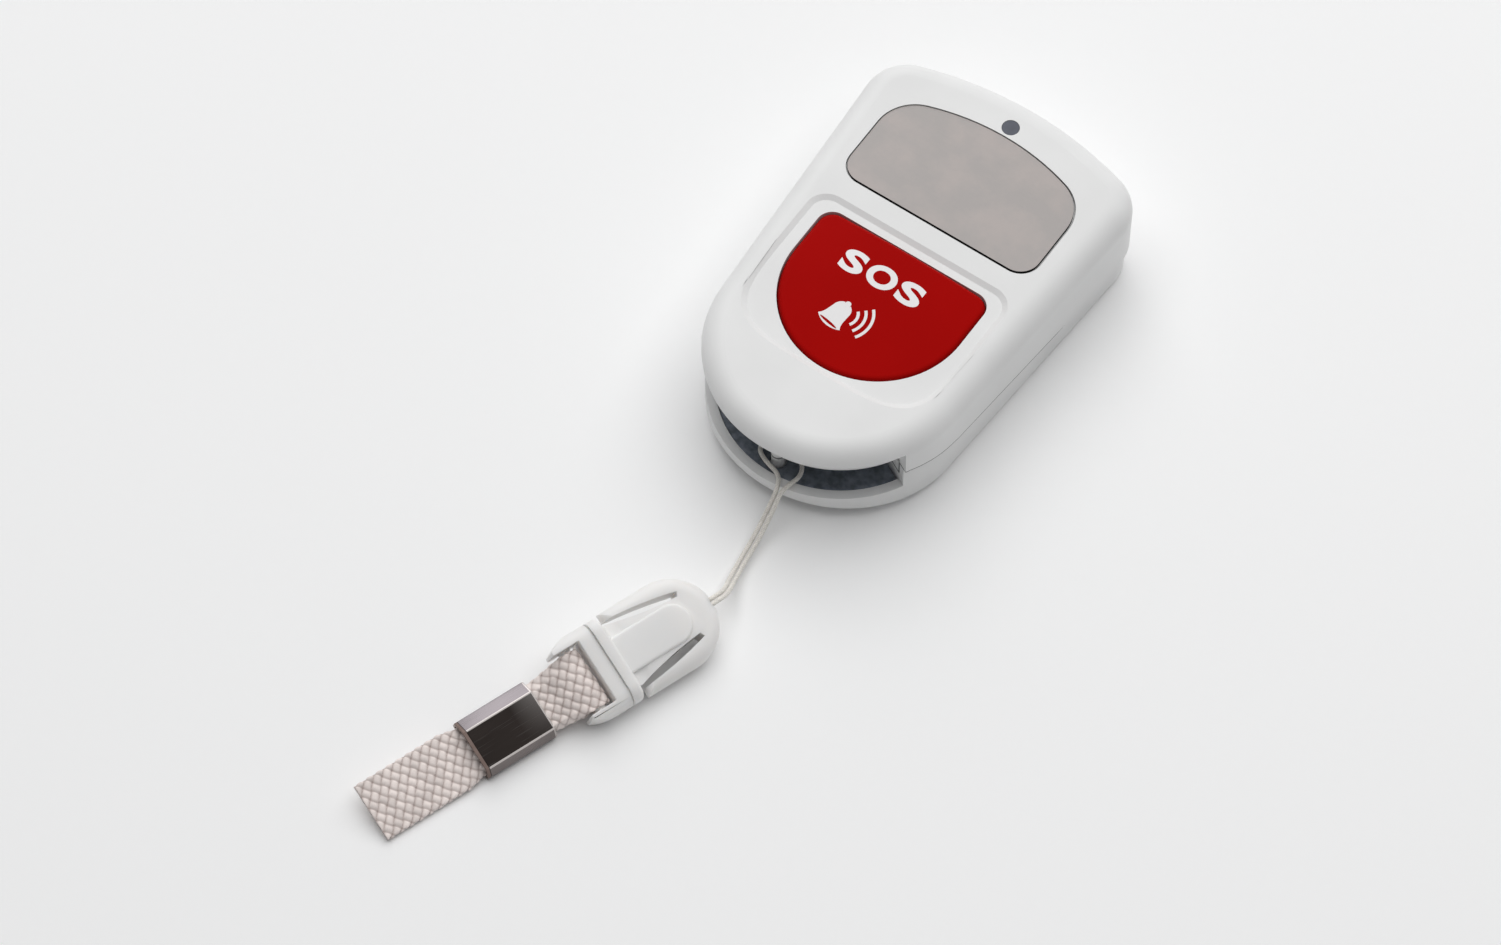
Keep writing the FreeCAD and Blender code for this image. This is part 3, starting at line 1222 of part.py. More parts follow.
def beside_crimp(half, crimp_in, crimp_out):
    """What the crimp squeezes in: the strap's width beside and over its hollow."""
    gap, wall = s.crimp_gap.number, s.crimp_wall.number
    side = s.crimp_half.number - wall - gap
    shoulder, top = s.crimp_shoulder.number - gap, s.crimp_height.number - wall
    left, right = (flat.number - wall / 2 - gap for flat in (s.crimp_top_left, s.crimp_top_right))
    start, length = crimp_out - gap, crimp_in - crimp_out + gap * 2
    section = [(-side, -top), (side, -top), (side, shoulder), (right, top), (-left, top), (-side, shoulder)]
    wire = Part.makePolygon([Vector(x, start, z) for x, z in section + section[:1]])
    hollow = Part.Face(wire).extrude(Vector(0, length, 0))
    block = Part.makeBox(half * 4, length, top * 2, Vector(-half * 2, start, -top))
    return block.cut(hollow)


def band_face(points, radii, thick):
    """Face of a band of one thickness whose middle line runs through points in the YZ plane."""
    directions = [(after - before).normalize() for before, after in zip(points, points[1:])]
    normals = [Vector(0, -way.z, way.y) for way in directions]
    wires = []
    for shift in (thick / 2, -thick / 2):
        moved = [points[0] + normals[0] * shift]
        bends = []
        for number, radius in enumerate(radii):
            before, after = normals[number], normals[number + 1]
            miter = (before + after).normalize()
            moved.append(points[number + 1] + miter * (shift / miter.dot(before)))
            turn = directions[number].cross(directions[number + 1]).x
            bends.append(radius - math.copysign(1, turn) * shift)
        moved.append(points[-1] + normals[-1] * shift)
        wires.append(rounded_wire(moved, bends))
    first, second = wires
    ends = [
        Part.LineSegment(first.Edges[0].Vertexes[0].Point, second.Edges[0].Vertexes[0].Point).toShape(),
        Part.LineSegment(first.Edges[-1].Vertexes[-1].Point, second.Edges[-1].Vertexes[-1].Point).toShape(),
    ]
    edges = Part.sortEdges(first.Edges + second.Edges + ends)[0]
    return Part.Face(Part.Wire(edges))


def crimp():
    body = new_body("strap_crimp")
    profile = sketch_on(body, "crimp_profile", plane="XZ_Plane", lift=s.crimp_start)
    for wall in (as_size(0.0), s.crimp_wall):
        half, low, high = s.crimp_half - wall, wall, s.crimp_height - wall
        left, right = s.crimp_top_left - wall / 2, s.crimp_top_right - wall / 2
        draw(profile, [(-half, low), (half, low), (half, s.crimp_shoulder), (right, high), (-left, high), (-half, s.crimp_shoulder)])
    pad(body, "crimp_tube", profile, s.crimp_length)
    on_strap(body)


for make in (front_shell, back_shell, tray, button, badge, light_guide, board, switch, coin_cell, board_parts,
             aerial, screws, cord, snap_socket, snap_tongue, strap, crimp):
    make()
doc.recompute()

# Every object is sound before anything is written
for thing in doc.Objects:
    if set(thing.State) & {"Invalid", "Error"}:
        raise RuntimeError(f"{thing.Label} failed: {thing.State}")
for piece in pieces:
    if piece.Shape.isNull() or not piece.Shape.isValid() or not piece.Shape.Solids:
        raise RuntimeError(f"{piece.Label} isn't a sound solid")
os.makedirs("parts", exist_ok=True)
for piece in pieces:
    piece.Shape.exportStep(f"parts/{piece.Label}.step")
print(len(pieces), "pieces")
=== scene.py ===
import math
import bpy
from bpy.props import FloatProperty, FloatVectorProperty, PointerProperty
from mathutils import Euler, Matrix, Vector


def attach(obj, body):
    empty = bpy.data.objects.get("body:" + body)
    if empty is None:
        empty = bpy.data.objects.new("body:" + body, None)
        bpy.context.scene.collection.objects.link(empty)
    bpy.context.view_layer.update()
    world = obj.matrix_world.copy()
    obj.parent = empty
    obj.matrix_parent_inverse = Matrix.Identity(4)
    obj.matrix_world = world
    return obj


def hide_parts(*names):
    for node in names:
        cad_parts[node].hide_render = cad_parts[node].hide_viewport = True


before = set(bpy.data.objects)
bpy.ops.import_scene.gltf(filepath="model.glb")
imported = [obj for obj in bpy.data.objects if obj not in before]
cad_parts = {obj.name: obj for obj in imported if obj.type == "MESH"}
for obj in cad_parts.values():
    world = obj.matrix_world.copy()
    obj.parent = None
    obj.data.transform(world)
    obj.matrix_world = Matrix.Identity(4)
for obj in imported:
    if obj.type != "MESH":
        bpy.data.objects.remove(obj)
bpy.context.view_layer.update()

# Dresses the solids of a wireless panic button: moulded shells, red button with its sign, bare metal plate,
# round braided cord, snap connector, flat braided strap and dark nickel crimp, on a pale table.

bl_info = {
    "name": "Wireless panic button",
    "version": (1, 0, 0),
    "blender": (4, 5, 0),
    "location": "View3D > Sidebar > Panic button",
    "description": "Surfaces, cord and strap of a wireless panic button",
    "category": "Object",
}

MM = 0.001

# Route of the cord's middle line in metres: from the connector, round the post in the slot and back
CORD_ROUTE = [
    (0.00378, -0.04807, 0.00408), (0.00453, -0.04597, 0.00405), (0.00455, -0.0442, 0.00295),
    (0.00375, -0.0419, 0.0016), (0.0031, -0.039, 0.0009), (0.0028, -0.0359, 0.0012), (0.0026, -0.0332, 0.00225),
    (0.0025, -0.0312, 0.00375), (0.0024, -0.0296, 0.0051), (0.0015, -0.028, 0.0052), (-0.0009, -0.0274, 0.0051),
    (-0.0027, -0.0264, 0.005), (-0.0026, -0.0249, 0.005), (-0.0009, -0.02435, 0.0051), (0.0012, -0.0244, 0.0053),
    (0.0031, -0.0252, 0.0054), (0.0039, -0.0268, 0.0053), (0.0034, -0.0284, 0.0052), (0.0031, -0.0299, 0.0051),
    (0.0032, -0.0314, 0.00375), (0.0033, -0.0333, 0.00225), (0.00355, -0.036, 0.0012), (0.0038, -0.039, 0.0009),
    (0.00445, -0.0419, 0.0016), (0.0052, -0.0443, 0.0029), (0.0051, -0.04617, 0.00385), (0.00436, -0.04829, 0.00386),
]
# The cord's braid: points and crowns round it, how much longer than wide a crown is, and its depth over the radius
CORD_AROUND, CORD_CROWNS, CORD_STRETCH, CORD_RELIEF = 24, 6, 1.3, 0.13

# The connector and the strap lie turned by 20 degrees and lean to the right by 20: their origin, in millimetres
STRAP_BASE = Vector((3.68, -46.44, 1.34))
STRAP_TURN = (0, math.radians(20), math.radians(-20))
# Middle line of the folded strap in its side view (y, z) in millimetres, and its braid's depth over its thickness
STRAP_RELIEF = 0.34
STRAP_SIDE = [
    (-33.7, 1.605), (-24.9, 1.605), (-20.45, 3.825), (-17.825, 3.825), (-17.825, 1.375), (-20.45, 1.375),
    (-24.9, 0.795), (-34.9, 0.795), (-38.8, 0.395), (-49.2, 0.395),
]
# Distance between points of the skin in metres: of the strap, along it and round it, and of the cord, along it
STRAP_PITCH = (0.000115, 0.000125)
CORD_PITCH = 0.00007
# Inside of the crimp in millimetres: its ends, half width, floor and roof, the start and slope of its roof's bevels,
# left and right, and how far before and behind it the strap is still pressed
CRIMP = {
    "near": -24.9, "far": -34.9, "half": 3.42, "floor": 0.42, "roof": 2.03, "bevels": ((1.99, 0.624), (2.79, 1.348)),
    "press_near": 5.0, "press_far": 2.6,
}
# How far the edges of the connector and of the crimp are rounded, in metres
CLIP_ROUNDING, CRIMP_ROUNDING = 0.0002, 0.00013
# Outside of the crimp in metres: its bends (place across and half width), its near edge, dark line and far lip; the
# bends and near edge carry a painted highlight
CRIMP_BENDS = ((-0.00222, 0.00013), (0.00302, 0.00012))
CRIMP_EDGES = {"near": -0.02515, "line": -0.03438, "lip": -0.03448}

# The line between both shells in metres: its width, then its corners (y, z) from the lamp's end
SEAM = (0.0003, (0.015, 0.005), (-0.012, 0.0069), (-0.02, 0.0086))
# The step of the same line on the slot's end walls, round the middle of the housing's round end
STEP = {"centre_y": -0.0125, "from_y": -0.018, "radius": 0.0156, "low": 0.0062}
# A height just under the plate's upper side, below which its sides are painted near black as the shade in the gap
# round it, and how far the plate was stuck off the middle of its pocket, in metres
PLATE_GAP_SHADE_TOP = 0.01483
PLATE_SHIFT = (-0.00012, 0.00014, 0)
# The dish round the button in millimetres: its D outline in the solid, how wide, low and square its lower half is
# seen to be, and how near to its outline and to its depth a vertex lies, and how level an edge is, to belong to it
DISH = {
    "half": 14.1, "top": 4.3, "centre_y": -4.2, "corner": 2.9, "face": 15.0, "depth": 0.4, "slope": 1.732,
    "wide": 14.65, "low": 13.95, "square": 4.2, "near": 0.06, "above": 0.02, "level": 0.01,
}

# The button's crown in millimetres, and its sign: letters with their left and right sides, and the bell's waves
CROWN = {"radius": 130.0, "top": 15.3, "centre_y": -4.8}
LETTERS = (("S", -6.48, -3.26), ("O", -2.75, 1.33), ("S", 1.83, 5.15))
LETTER_HEIGHT, LETTER_MIDDLE = 3.38, -2.62
BELL_TURN, BELL_PLACE = -11, (-2.61, -11.48)
WAVE_TURN, WAVE_PLACE = 4, (-1.56, -9.49)
WAVES, WAVE_WIDTH, WAVE_HALF_ANGLE = (1.66, 2.62, 3.57), 0.38, 39
# Thickness of a flat sign before it is printed, and how deep its underside then lies in the button, in metres
SIGN_BODY, SIGN_SINK = 0.00001, 0.00002

# Chip parts on the board in metres: the middle of their row, and half of the ceramic between their tinned ends
CHIP_ROW, CHIP_HALF = 0.007, 0.0005
# Finishes of what is hidden or hardly seen
FILM_GREY = (0.1, 0.1, 0.095)
SCREW_STEEL = (0.45, 0.45, 0.47)
EPOXY_RED = (0.55, 0.05, 0.04)
CASE_BLACK = (0.022, 0.022, 0.025)
TIN = (0.72, 0.72, 0.71)
SPRING_BRONZE = (0.62, 0.58, 0.5)
# Painted shade: the dark colour the strap's braid takes in the valleys between its crowns
STRAP_CREVICE_SHADE = (0.28, 0.205, 0.185)

# The photograph's camera: where it looks, its turn and rise in degrees, its distance, and its lens in pixels
CAMERA = {
    "target": (0.001747, -0.034508, 0.015), "turn": 34.79, "rise": 59.791, "away": 0.724748,
    "focal_pixels": 6000, "width_pixels": 1501, "sensor": 36,
}
# Lamps: name, place and side in metres, watts, and whether gloss mirrors them
LAMPS = (("lamp_over", (-0.1, 0.3, 0.9), 1.4, 11.2, False), ("lamp_back", (-0.65, 0.6, 0.55), 0.6, 1.1, True))
LAMPS_LOOK_AT = Vector((0, -0.02, 0))
# Colour sockets of Blender's Mix node, whose names repeat: both inputs and the output
MIX_INPUTS, MIX_OUTPUT = (6, 7), 2


def colour(name, words, rgb):
    return FloatVectorProperty(name=name, description=words, subtype="COLOR", size=3, min=0, max=1, default=rgb)


def length(name, words, metres):
    return FloatProperty(name=name, description=words, unit="LENGTH", min=0, default=metres, precision=5)


class PANIC_PG_colours(bpy.types.PropertyGroup):
    shell: colour("Shell", "White plastic of both shells", (0.812, 0.812, 0.808))
    button: colour("Button", "Red plastic of the button", (0.37, 0.0028, 0.0022))
    sign: colour("Sign", "White ink on the button", (0.86, 0.85, 0.85))
    plate: colour("Plate", "Bare metal plate", (0.385, 0.362, 0.352))
    tray: colour("Tray", "Dark tray inside the slot", (0.19, 0.215, 0.255))
    lens: colour("Lens", "Light guide of the signal lamp", (0.066, 0.073, 0.098))
    clip: colour("Connector", "White plastic of the snap connector", (0.88, 0.865, 0.85))
    cord: colour("Cord", "Off-white braid of the thin cord", (0.88, 0.845, 0.785))
    strap: colour("Strap", "Silky braid of the strap", (0.88, 0.79, 0.752))
    crimp: colour("Crimp", "Dark nickel of the crimp", (0.028, 0.023, 0.021))
    table: colour("Table", "Pale table under the object", (0.97, 0.97, 0.97))


class PANIC_PG_sizes(bpy.types.PropertyGroup):
    cord_width: length("Cord width", "Diameter of the thin cord", 0.0006)
    strap_width: length("Strap width", "Width of the flat strap", 0.0078)
    strap_thickness: length("Strap thickness", "Thickness of the flat strap", 0.00075)
    braid_across: length("Braid across", "From one crown of the braid to the next across the strap", 0.00168)
    braid_along: length("Braid along", "From one crown of the braid to the next along the strap", 0.00138)
    ink: length("Ink height", "How far the ink stands over the button", 0.000012)


# Materials


class Wire:
    """An output socket of a material that can be used in sums."""

    def __init__(self, paint, socket):
        self.paint = paint
        self.socket = socket

    def sum(self, operation, *values):
        return self.paint.add("ShaderNodeMath", {"operation": operation}, *values)

    def __add__(self, other):
        return self.sum("ADD", self, other)

    def __radd__(self, other):
        return self.sum("ADD", other, self)

    def __sub__(self, other):
        return self.sum("SUBTRACT", self, other)

    def __rsub__(self, other):
        return self.sum("SUBTRACT", other, self)

    def __mul__(self, other):
        return self.sum("MULTIPLY", self, other)

    def __truediv__(self, other):
        return self.sum("DIVIDE", self, other)

    def __pow__(self, other):
        return self.sum("POWER", self, other)

    def __gt__(self, other):
        return self.sum("GREATER_THAN", self, other)

    def __lt__(self, other):
        return self.sum("LESS_THAN", self, other)

    def size(self):
        return self.sum("ABSOLUTE", self)


class Paint:
    """One material while its nodes are being joined."""

    def __init__(self, name, **fixed):
        self.material = bpy.data.materials.new(name)
        self.material.use_nodes = True
        self.tree = self.material.node_tree
        self.shader = self.tree.nodes["Principled BSDF"]
        for socket, value in fixed.items():
            self.shader.inputs[socket.replace("_", " ").title().replace("Ior", "IOR")].default_value = value

    def add(self, kind, settings, *values, out=0, **named):
        node = self.tree.nodes.new(kind)
        stops = settings.pop("stops", None)
        for setting, value in settings.items():
            setattr(node, setting, value)
        if stops:
            ramp = node.color_ramp
            for stop, (place, shade) in enumerate(stops):
                element = ramp.elements[stop] if stop < 2 else ramp.elements.new(place)
                element.position = place
                element.color = (*shade, 1)
        for socket, value in [*enumerate(values), *named.items()]:
            if isinstance(value, Wire):
                self.tree.links.new(value.socket, node.inputs[socket])
            else:
                node.inputs[socket].default_value = value
        return Wire(self, node.outputs[out])

    def feed(self, socket, wire):
        self.tree.links.new(wire.socket, self.shader.inputs[socket])

    def place(self):
        return self.add("ShaderNodeTexCoord", {}, out="Object")

    def stretched(self, place, scale, turn=(0, 0, 0)):
        return self.add("ShaderNodeMapping", {}, Vector=place, Scale=scale, Rotation=turn)

    def axes(self, place):
        parts = self.add("ShaderNodeSeparateXYZ", {}, place)
        outputs = parts.socket.node.outputs
        return [Wire(self, outputs[axis]) for axis in "XYZ"]

    def noise(self, place, scale, detail=3.0, roughness=0.5):
        inputs = {"Vector": place, "Scale": scale, "Detail": detail, "Roughness": roughness}
        return self.add("ShaderNodeTexNoise", {}, out="Fac", **inputs)

    def cells(self, place, scale):
        return self.add("ShaderNodeTexVoronoi", {"feature": "F1"}, out="Distance", Vector=place, Scale=scale)

    def ramp(self, value, *stops):
        return self.add("ShaderNodeValToRGB", {"stops": [(at, (shade,) * 3) for at, shade in stops]}, value)

    def blend(self, share, first, second):
        mixed = self.add("ShaderNodeMix", {"data_type": "RGBA"}, share)
        node = mixed.socket.node
        for socket, tone in zip(MIX_INPUTS, (first, second)):
            if isinstance(tone, Wire):
                self.tree.links.new(tone.socket, node.inputs[socket])
            else:
                node.inputs[socket].default_value = (*tone, 1)
        return Wire(self, node.outputs[MIX_OUTPUT])

    def relief(self, height, depth, strength=1.0, under=None):
        bump = self.add("ShaderNodeBump", {}, Strength=strength, Distance=depth, Height=height)
        if under is not None:
            self.tree.links.new(under.socket, bump.socket.node.inputs["Normal"])
        return bump


def shade(rgb, factor):
    return tuple(min(1.0, part * factor) for part in rgb)


def seam_line(paint, place, width, *corners):
    """One on a seam through corners (y, z) in metres and on its step down inside the slot's ends, zero elsewhere."""
    x, y, z = paint.axes(place)
    (first, low), (last, high) = corners[0], corners[-1]
    from_middle = (x * x + (y - STEP["centre_y"]) * (y - STEP["centre_y"])) ** 0.5
    slot = y < STEP["from_y"]
    inside = (from_middle < STEP["radius"]) * slot
    upright = ((from_middle - STEP["radius"]).size() < width / 2) * (z > STEP["low"]) * (z < high) * slot
    inner = ((z - STEP["low"]).size() < width / 2) * inside
    stops = [((first - at) / (first - last), (height - low) / (high - low)) for at, height in corners]
    line = paint.ramp((first - y) / (first - last), *stops) * (high - low) + low
    outer = ((z - line).size() < width / 2) * (1 - inside)
    return (outer + upright + inner) > 0.5


def moulded(name, rgb, roughness, grain, seam=None, mottle=(90, 0.035), **fixed):
    """Moulded plastic: a mottle of a given scale and strength, spark-eroded grain, faint flow and a dark seam."""
    paint = Paint(name, **fixed)
    place = paint.place()
    scale, strength = mottle
    cloud = paint.noise(place, scale, 2)
    speck = paint.noise(place, grain, 2)
    flow = paint.noise(paint.stretched(place, (1, 0.35, 1)), 260, 3)
    clouded = paint.ramp(cloud, (0.35, 0), (0.7, 1))
    tone = paint.blend(clouded, shade(rgb, 1 - strength), shade(rgb, 1 + strength * 0.6))
    if seam:
        tone = paint.blend(seam_line(paint, place, *seam), tone, shade(rgb, 0.16))
    paint.feed("Base Color", tone)
    paint.feed("Roughness", roughness - 0.05 + speck * 0.08 + flow * 0.04)
    coarse = paint.relief(flow, 0.00003, 0.12)
    paint.feed("Normal", paint.relief(speck, 0.00001, 0.35, coarse))
    return paint.material


def sheet_metal(name, rgb, roughness, along, across, edge=0.0, **fixed):
    """Rolled or brushed sheet: fine lines one way, cloudy stains, a few scratches, and painted shade, near black,
    below its edge height.
    """
    paint = Paint(name, metallic=1.0, **fixed)
    place = paint.place()
    lines = paint.noise(paint.stretched(place, (along, across, across)), 1.0, 3, 0.6)
    cloud = paint.noise(place, 210, 4, 0.6)
    scratch = paint.noise(paint.stretched(place, (along * 0.3, across * 1.6, across), (0, 0, 0.5)), 1.0, 2)
    marks = paint.ramp(scratch, (0.7, 0), (0.78, 1))
    warm = (rgb[0] * 1.05, rgb[1] * 1.01, rgb[2])
    stained = paint.blend(paint.ramp(cloud, (0.4, 0), (0.62, 1)), shade(rgb, 0.93), warm)
    lined = paint.blend(lines * 0.5, stained, shade(rgb, 1.12))
    # Painted shade: below the edge height the sides turn near black and rougher, standing for the shade in the gap
    # round the plate
    gap_shade = paint.axes(place)[2] < edge
    paint.feed("Base Color", paint.blend(gap_shade, lined, (0.01, 0.01, 0.01)))
    paint.feed("Roughness", roughness + lines * 0.16 - marks * 0.08 + cloud * 0.06 + gap_shade * 0.4)
    paint.feed("Normal", paint.relief(lines + marks * 0.5, 0.000006, 0.4))
    return paint.material


def clear_plastic(name, rgb):
    """Cloudy clear plastic with a polished skin."""
    paint = Paint(name, coat_weight=0.6, coat_roughness=0.06)
    place = paint.place()
    depth = paint.noise(place, 900, 3)
    paint.feed("Base Color", paint.blend(depth, shade(rgb, 0.75), shade(rgb, 1.3)))
    paint.feed("Roughness", 0.1 + depth * 0.12)
    return paint.material


def laminate():
    """Lacquered circuit board: copper tracks under green lacquer, tinned pads."""
    paint = Paint("board_lacquer", coat_weight=0.4, coat_roughness=0.15)
    place = paint.place()
    inputs = {"Vector": place, "Scale": 420, "Mortar Size": 0.035}
    lanes = paint.add("ShaderNodeTexBrick", {"offset": 0.5, "squash": 1.0}, out="Fac", **inputs)
    pads = paint.cells(place, 480) < 0.13
    green = paint.blend(lanes, (0.02, 0.13, 0.05), (0.045, 0.24, 0.1))
    paint.feed("Base Color", paint.blend(pads, green, (0.62, 0.6, 0.55)))
    paint.feed("Metallic", pads * 0.9)
    paint.feed("Roughness", 0.35 + paint.noise(place, 3000) * 0.15)
    paint.feed("Normal", paint.relief(lanes, 0.00003, 0.5))
    return paint.material


def ceramic():
    """Small chip part: fired ceramic with tinned ends."""
    paint = Paint("chip_ceramic")
    place = paint.place()
    ends = (paint.axes(place)[1] - CHIP_ROW).size() > CHIP_HALF
    fired = paint.blend(paint.noise(place, 4000), (0.3, 0.2, 0.11), (0.42, 0.3, 0.18))
    paint.feed("Base Color", paint.blend(ends, fired, (0.65, 0.65, 0.66)))
    paint.feed("Metallic", ends * 0.95)
    paint.feed("Roughness", 0.45 - ends * 0.15)
    return paint.material


def braid_paint(name, rgb, dark, sheen):
    """Silky yarn: crowns with a random tone and fibre streaks painted as highlights, painted shade in the valleys,
    and fine fibres along each bundle.
    """
    paint = Paint(name, sheen_weight=sheen, sheen_roughness=0.35)
    height = paint.add("ShaderNodeAttribute", {"attribute_name": "crown"}, out="Fac")
    tone = paint.add("ShaderNodeAttribute", {"attribute_name": "tone"}, out="Fac")
    along = paint.add("ShaderNodeUVMap", {"uv_map": "yarn"})
    fibre = paint.noise(paint.stretched(along, (9, 0.9, 1)), 1.0, 2, 0.7)
    # Painted shade: towards the dark colour where the crown attribute is low, in the valleys between crowns
    crevice_shade = paint.ramp(height, (0.02, 0), (0.35, 0.62), (0.75, 1))
    # Crown tone: random per bundle, with fibre streaks painted lighter as highlights
    lit = paint.blend(tone * 0.55 + fibre * 0.6, shade(rgb, 0.76), shade(rgb, 1.13))
    paint.feed("Base Color", paint.blend(crevice_shade, dark, lit))
    paint.feed("Roughness", 0.62 - height * 0.14 - fibre * 0.12)
    paint.feed("Normal", paint.relief(fibre, 0.00004, 0.5))
    return paint.material


def nickel(name, rgb):
    """Dark polished nickel: bevels paler and duller by painted reflections, painted highlights on its bends and near
    edge, a painted reflection of the connector, brownish on its far lip.
    """
    paint = Paint(name, metallic=1.0)
    along_strap = {"Vector": paint.place(), "Location": STRAP_BASE * MM, "Rotation": STRAP_TURN}
    turned = paint.add("ShaderNodeMapping", {"vector_type": "TEXTURE"}, **along_strap)
    x, y = paint.axes(turned)[:2]
    cloud = paint.noise(paint.stretched(turned, (1, 0.25, 1)), 520, 4)
    hair = paint.noise(paint.stretched(turned, (5200, 160, 900)), 1.0, 2)
    worn = paint.ramp(hair, (0.62, 0), (0.75, 1))
    # Flat top, right bevel and left bevel; the bevels' paler and duller tones are painted reflections
    left = paint.ramp(x * -400, (0.87, 0), (0.9, 1))
    right = paint.ramp(x * 300, (0.885, 0), (0.905, 1))
    face = paint.blend(cloud, shade(rgb, 0.75), shade(rgb, 1.3))
    right_bevel_reflection = paint.blend(cloud, (0.15, 0.135, 0.13), (0.23, 0.2, 0.195))
    bright = paint.blend(cloud, (0.21, 0.19, 0.2), (0.32, 0.29, 0.305))
    body = paint.blend(left, paint.blend(right, face, right_bevel_reflection), bright)
    # Painted reflection of the white connector, lighter on the near left of the flat top
    connector_reflection = paint.ramp((y + 0.0285) * 280, (0, 0), (1, 1)) * paint.ramp((x + 0.0022) * 190, (0, 1), (1, 0.1))
    body = paint.blend(connector_reflection * 0.9 * (1 - left) * (1 - right), body, (0.15, 0.14, 0.135))
    # Bends and edges: painted highlights on the bends and the near edge, then the dark line and the far lip
    first, second = ((x - middle).size() < half for middle, half in CRIMP_BENDS)
    rim_highlight = paint.ramp(first + second + (y > CRIMP_EDGES["near"]), (0, 0), (1, 0.75))
    body = paint.blend(rim_highlight, body, (0.62, 0.58, 0.56))
    body = paint.blend((y < CRIMP_EDGES["line"]) * 0.85, body, (0.012, 0.009, 0.008))
    lip = paint.blend(cloud, (0.12, 0.085, 0.075), (0.24, 0.185, 0.165))
    body = paint.blend(y < CRIMP_EDGES["lip"], body, lip)
    paint.feed("Base Color", paint.blend(worn * 0.08, body, (0.3, 0.28, 0.28)))
    paint.feed("Roughness", 0.2 + cloud * 0.12 + worn * 0.1)
    paint.feed("Normal", paint.relief(hair, 0.000004, 0.2))
    return paint.material


def table_paint(rgb):
    """Matt pale board."""
    paint = Paint("table_top")
    grain = paint.noise(paint.place(), 700, 2)
    paint.feed("Base Color", paint.blend(grain, shade(rgb, 0.995), shade(rgb, 1.005)))
    paint.feed("Roughness", 0.82 + grain * 0.1)
    return paint.material


def dress(node, material):
    """Gives a solid of the frame its finish."""
    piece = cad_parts[node]
    piece.data.materials.clear()
    piece.data.materials.append(material)


def lone(piece):
    """Makes one object the only selected and the active one."""
    bpy.ops.object.select_all(action="DESELECT")
    piece.select_set(True)
    bpy.context.view_layer.objects.active = piece
    return piece


def settle(piece, material, body):
    """Bakes a finished piece's place into its mesh, gives it its finish and puts it on its body."""
    lone(piece)
    bpy.ops.object.transform_apply(location=True, rotation=True, scale=True)
    piece.data.materials.clear()
    piece.data.materials.append(material)
    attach(piece, body)
    return piece


def copied(node, name):
    """A new object with a copy of a solid's mesh, at the same place."""
    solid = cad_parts[node]
    piece = bpy.data.objects.new(name, solid.data.copy())
    bpy.context.collection.objects.link(piece)
    piece.matrix_world = solid.matrix_world
    return lone(piece)


def softened(node, name, width):
    """A copy of a solid of the frame with its sharp edges rounded."""
    piece = copied(node, name)
    bpy.ops.object.mode_set(mode="EDIT")
    bpy.ops.mesh.select_all(action="SELECT")
    bpy.ops.mesh.remove_doubles(threshold=0.0000005)
    bpy.ops.mesh.dissolve_limited(angle_limit=math.radians(0.5))
    bpy.ops.object.mode_set(mode="OBJECT")
    bpy.ops.object.modifier_add(type="BEVEL")
    bevel = piece.modifiers[-1]
    bevel.width = width
    bevel.segments = 3
    bevel.limit_method = "ANGLE"
    bevel.angle_limit = math.radians(25)
    bpy.ops.object.modifier_apply(modifier=bevel.name)
    bpy.ops.object.shade_smooth_by_angle(angle=math.radians(40))
    return piece


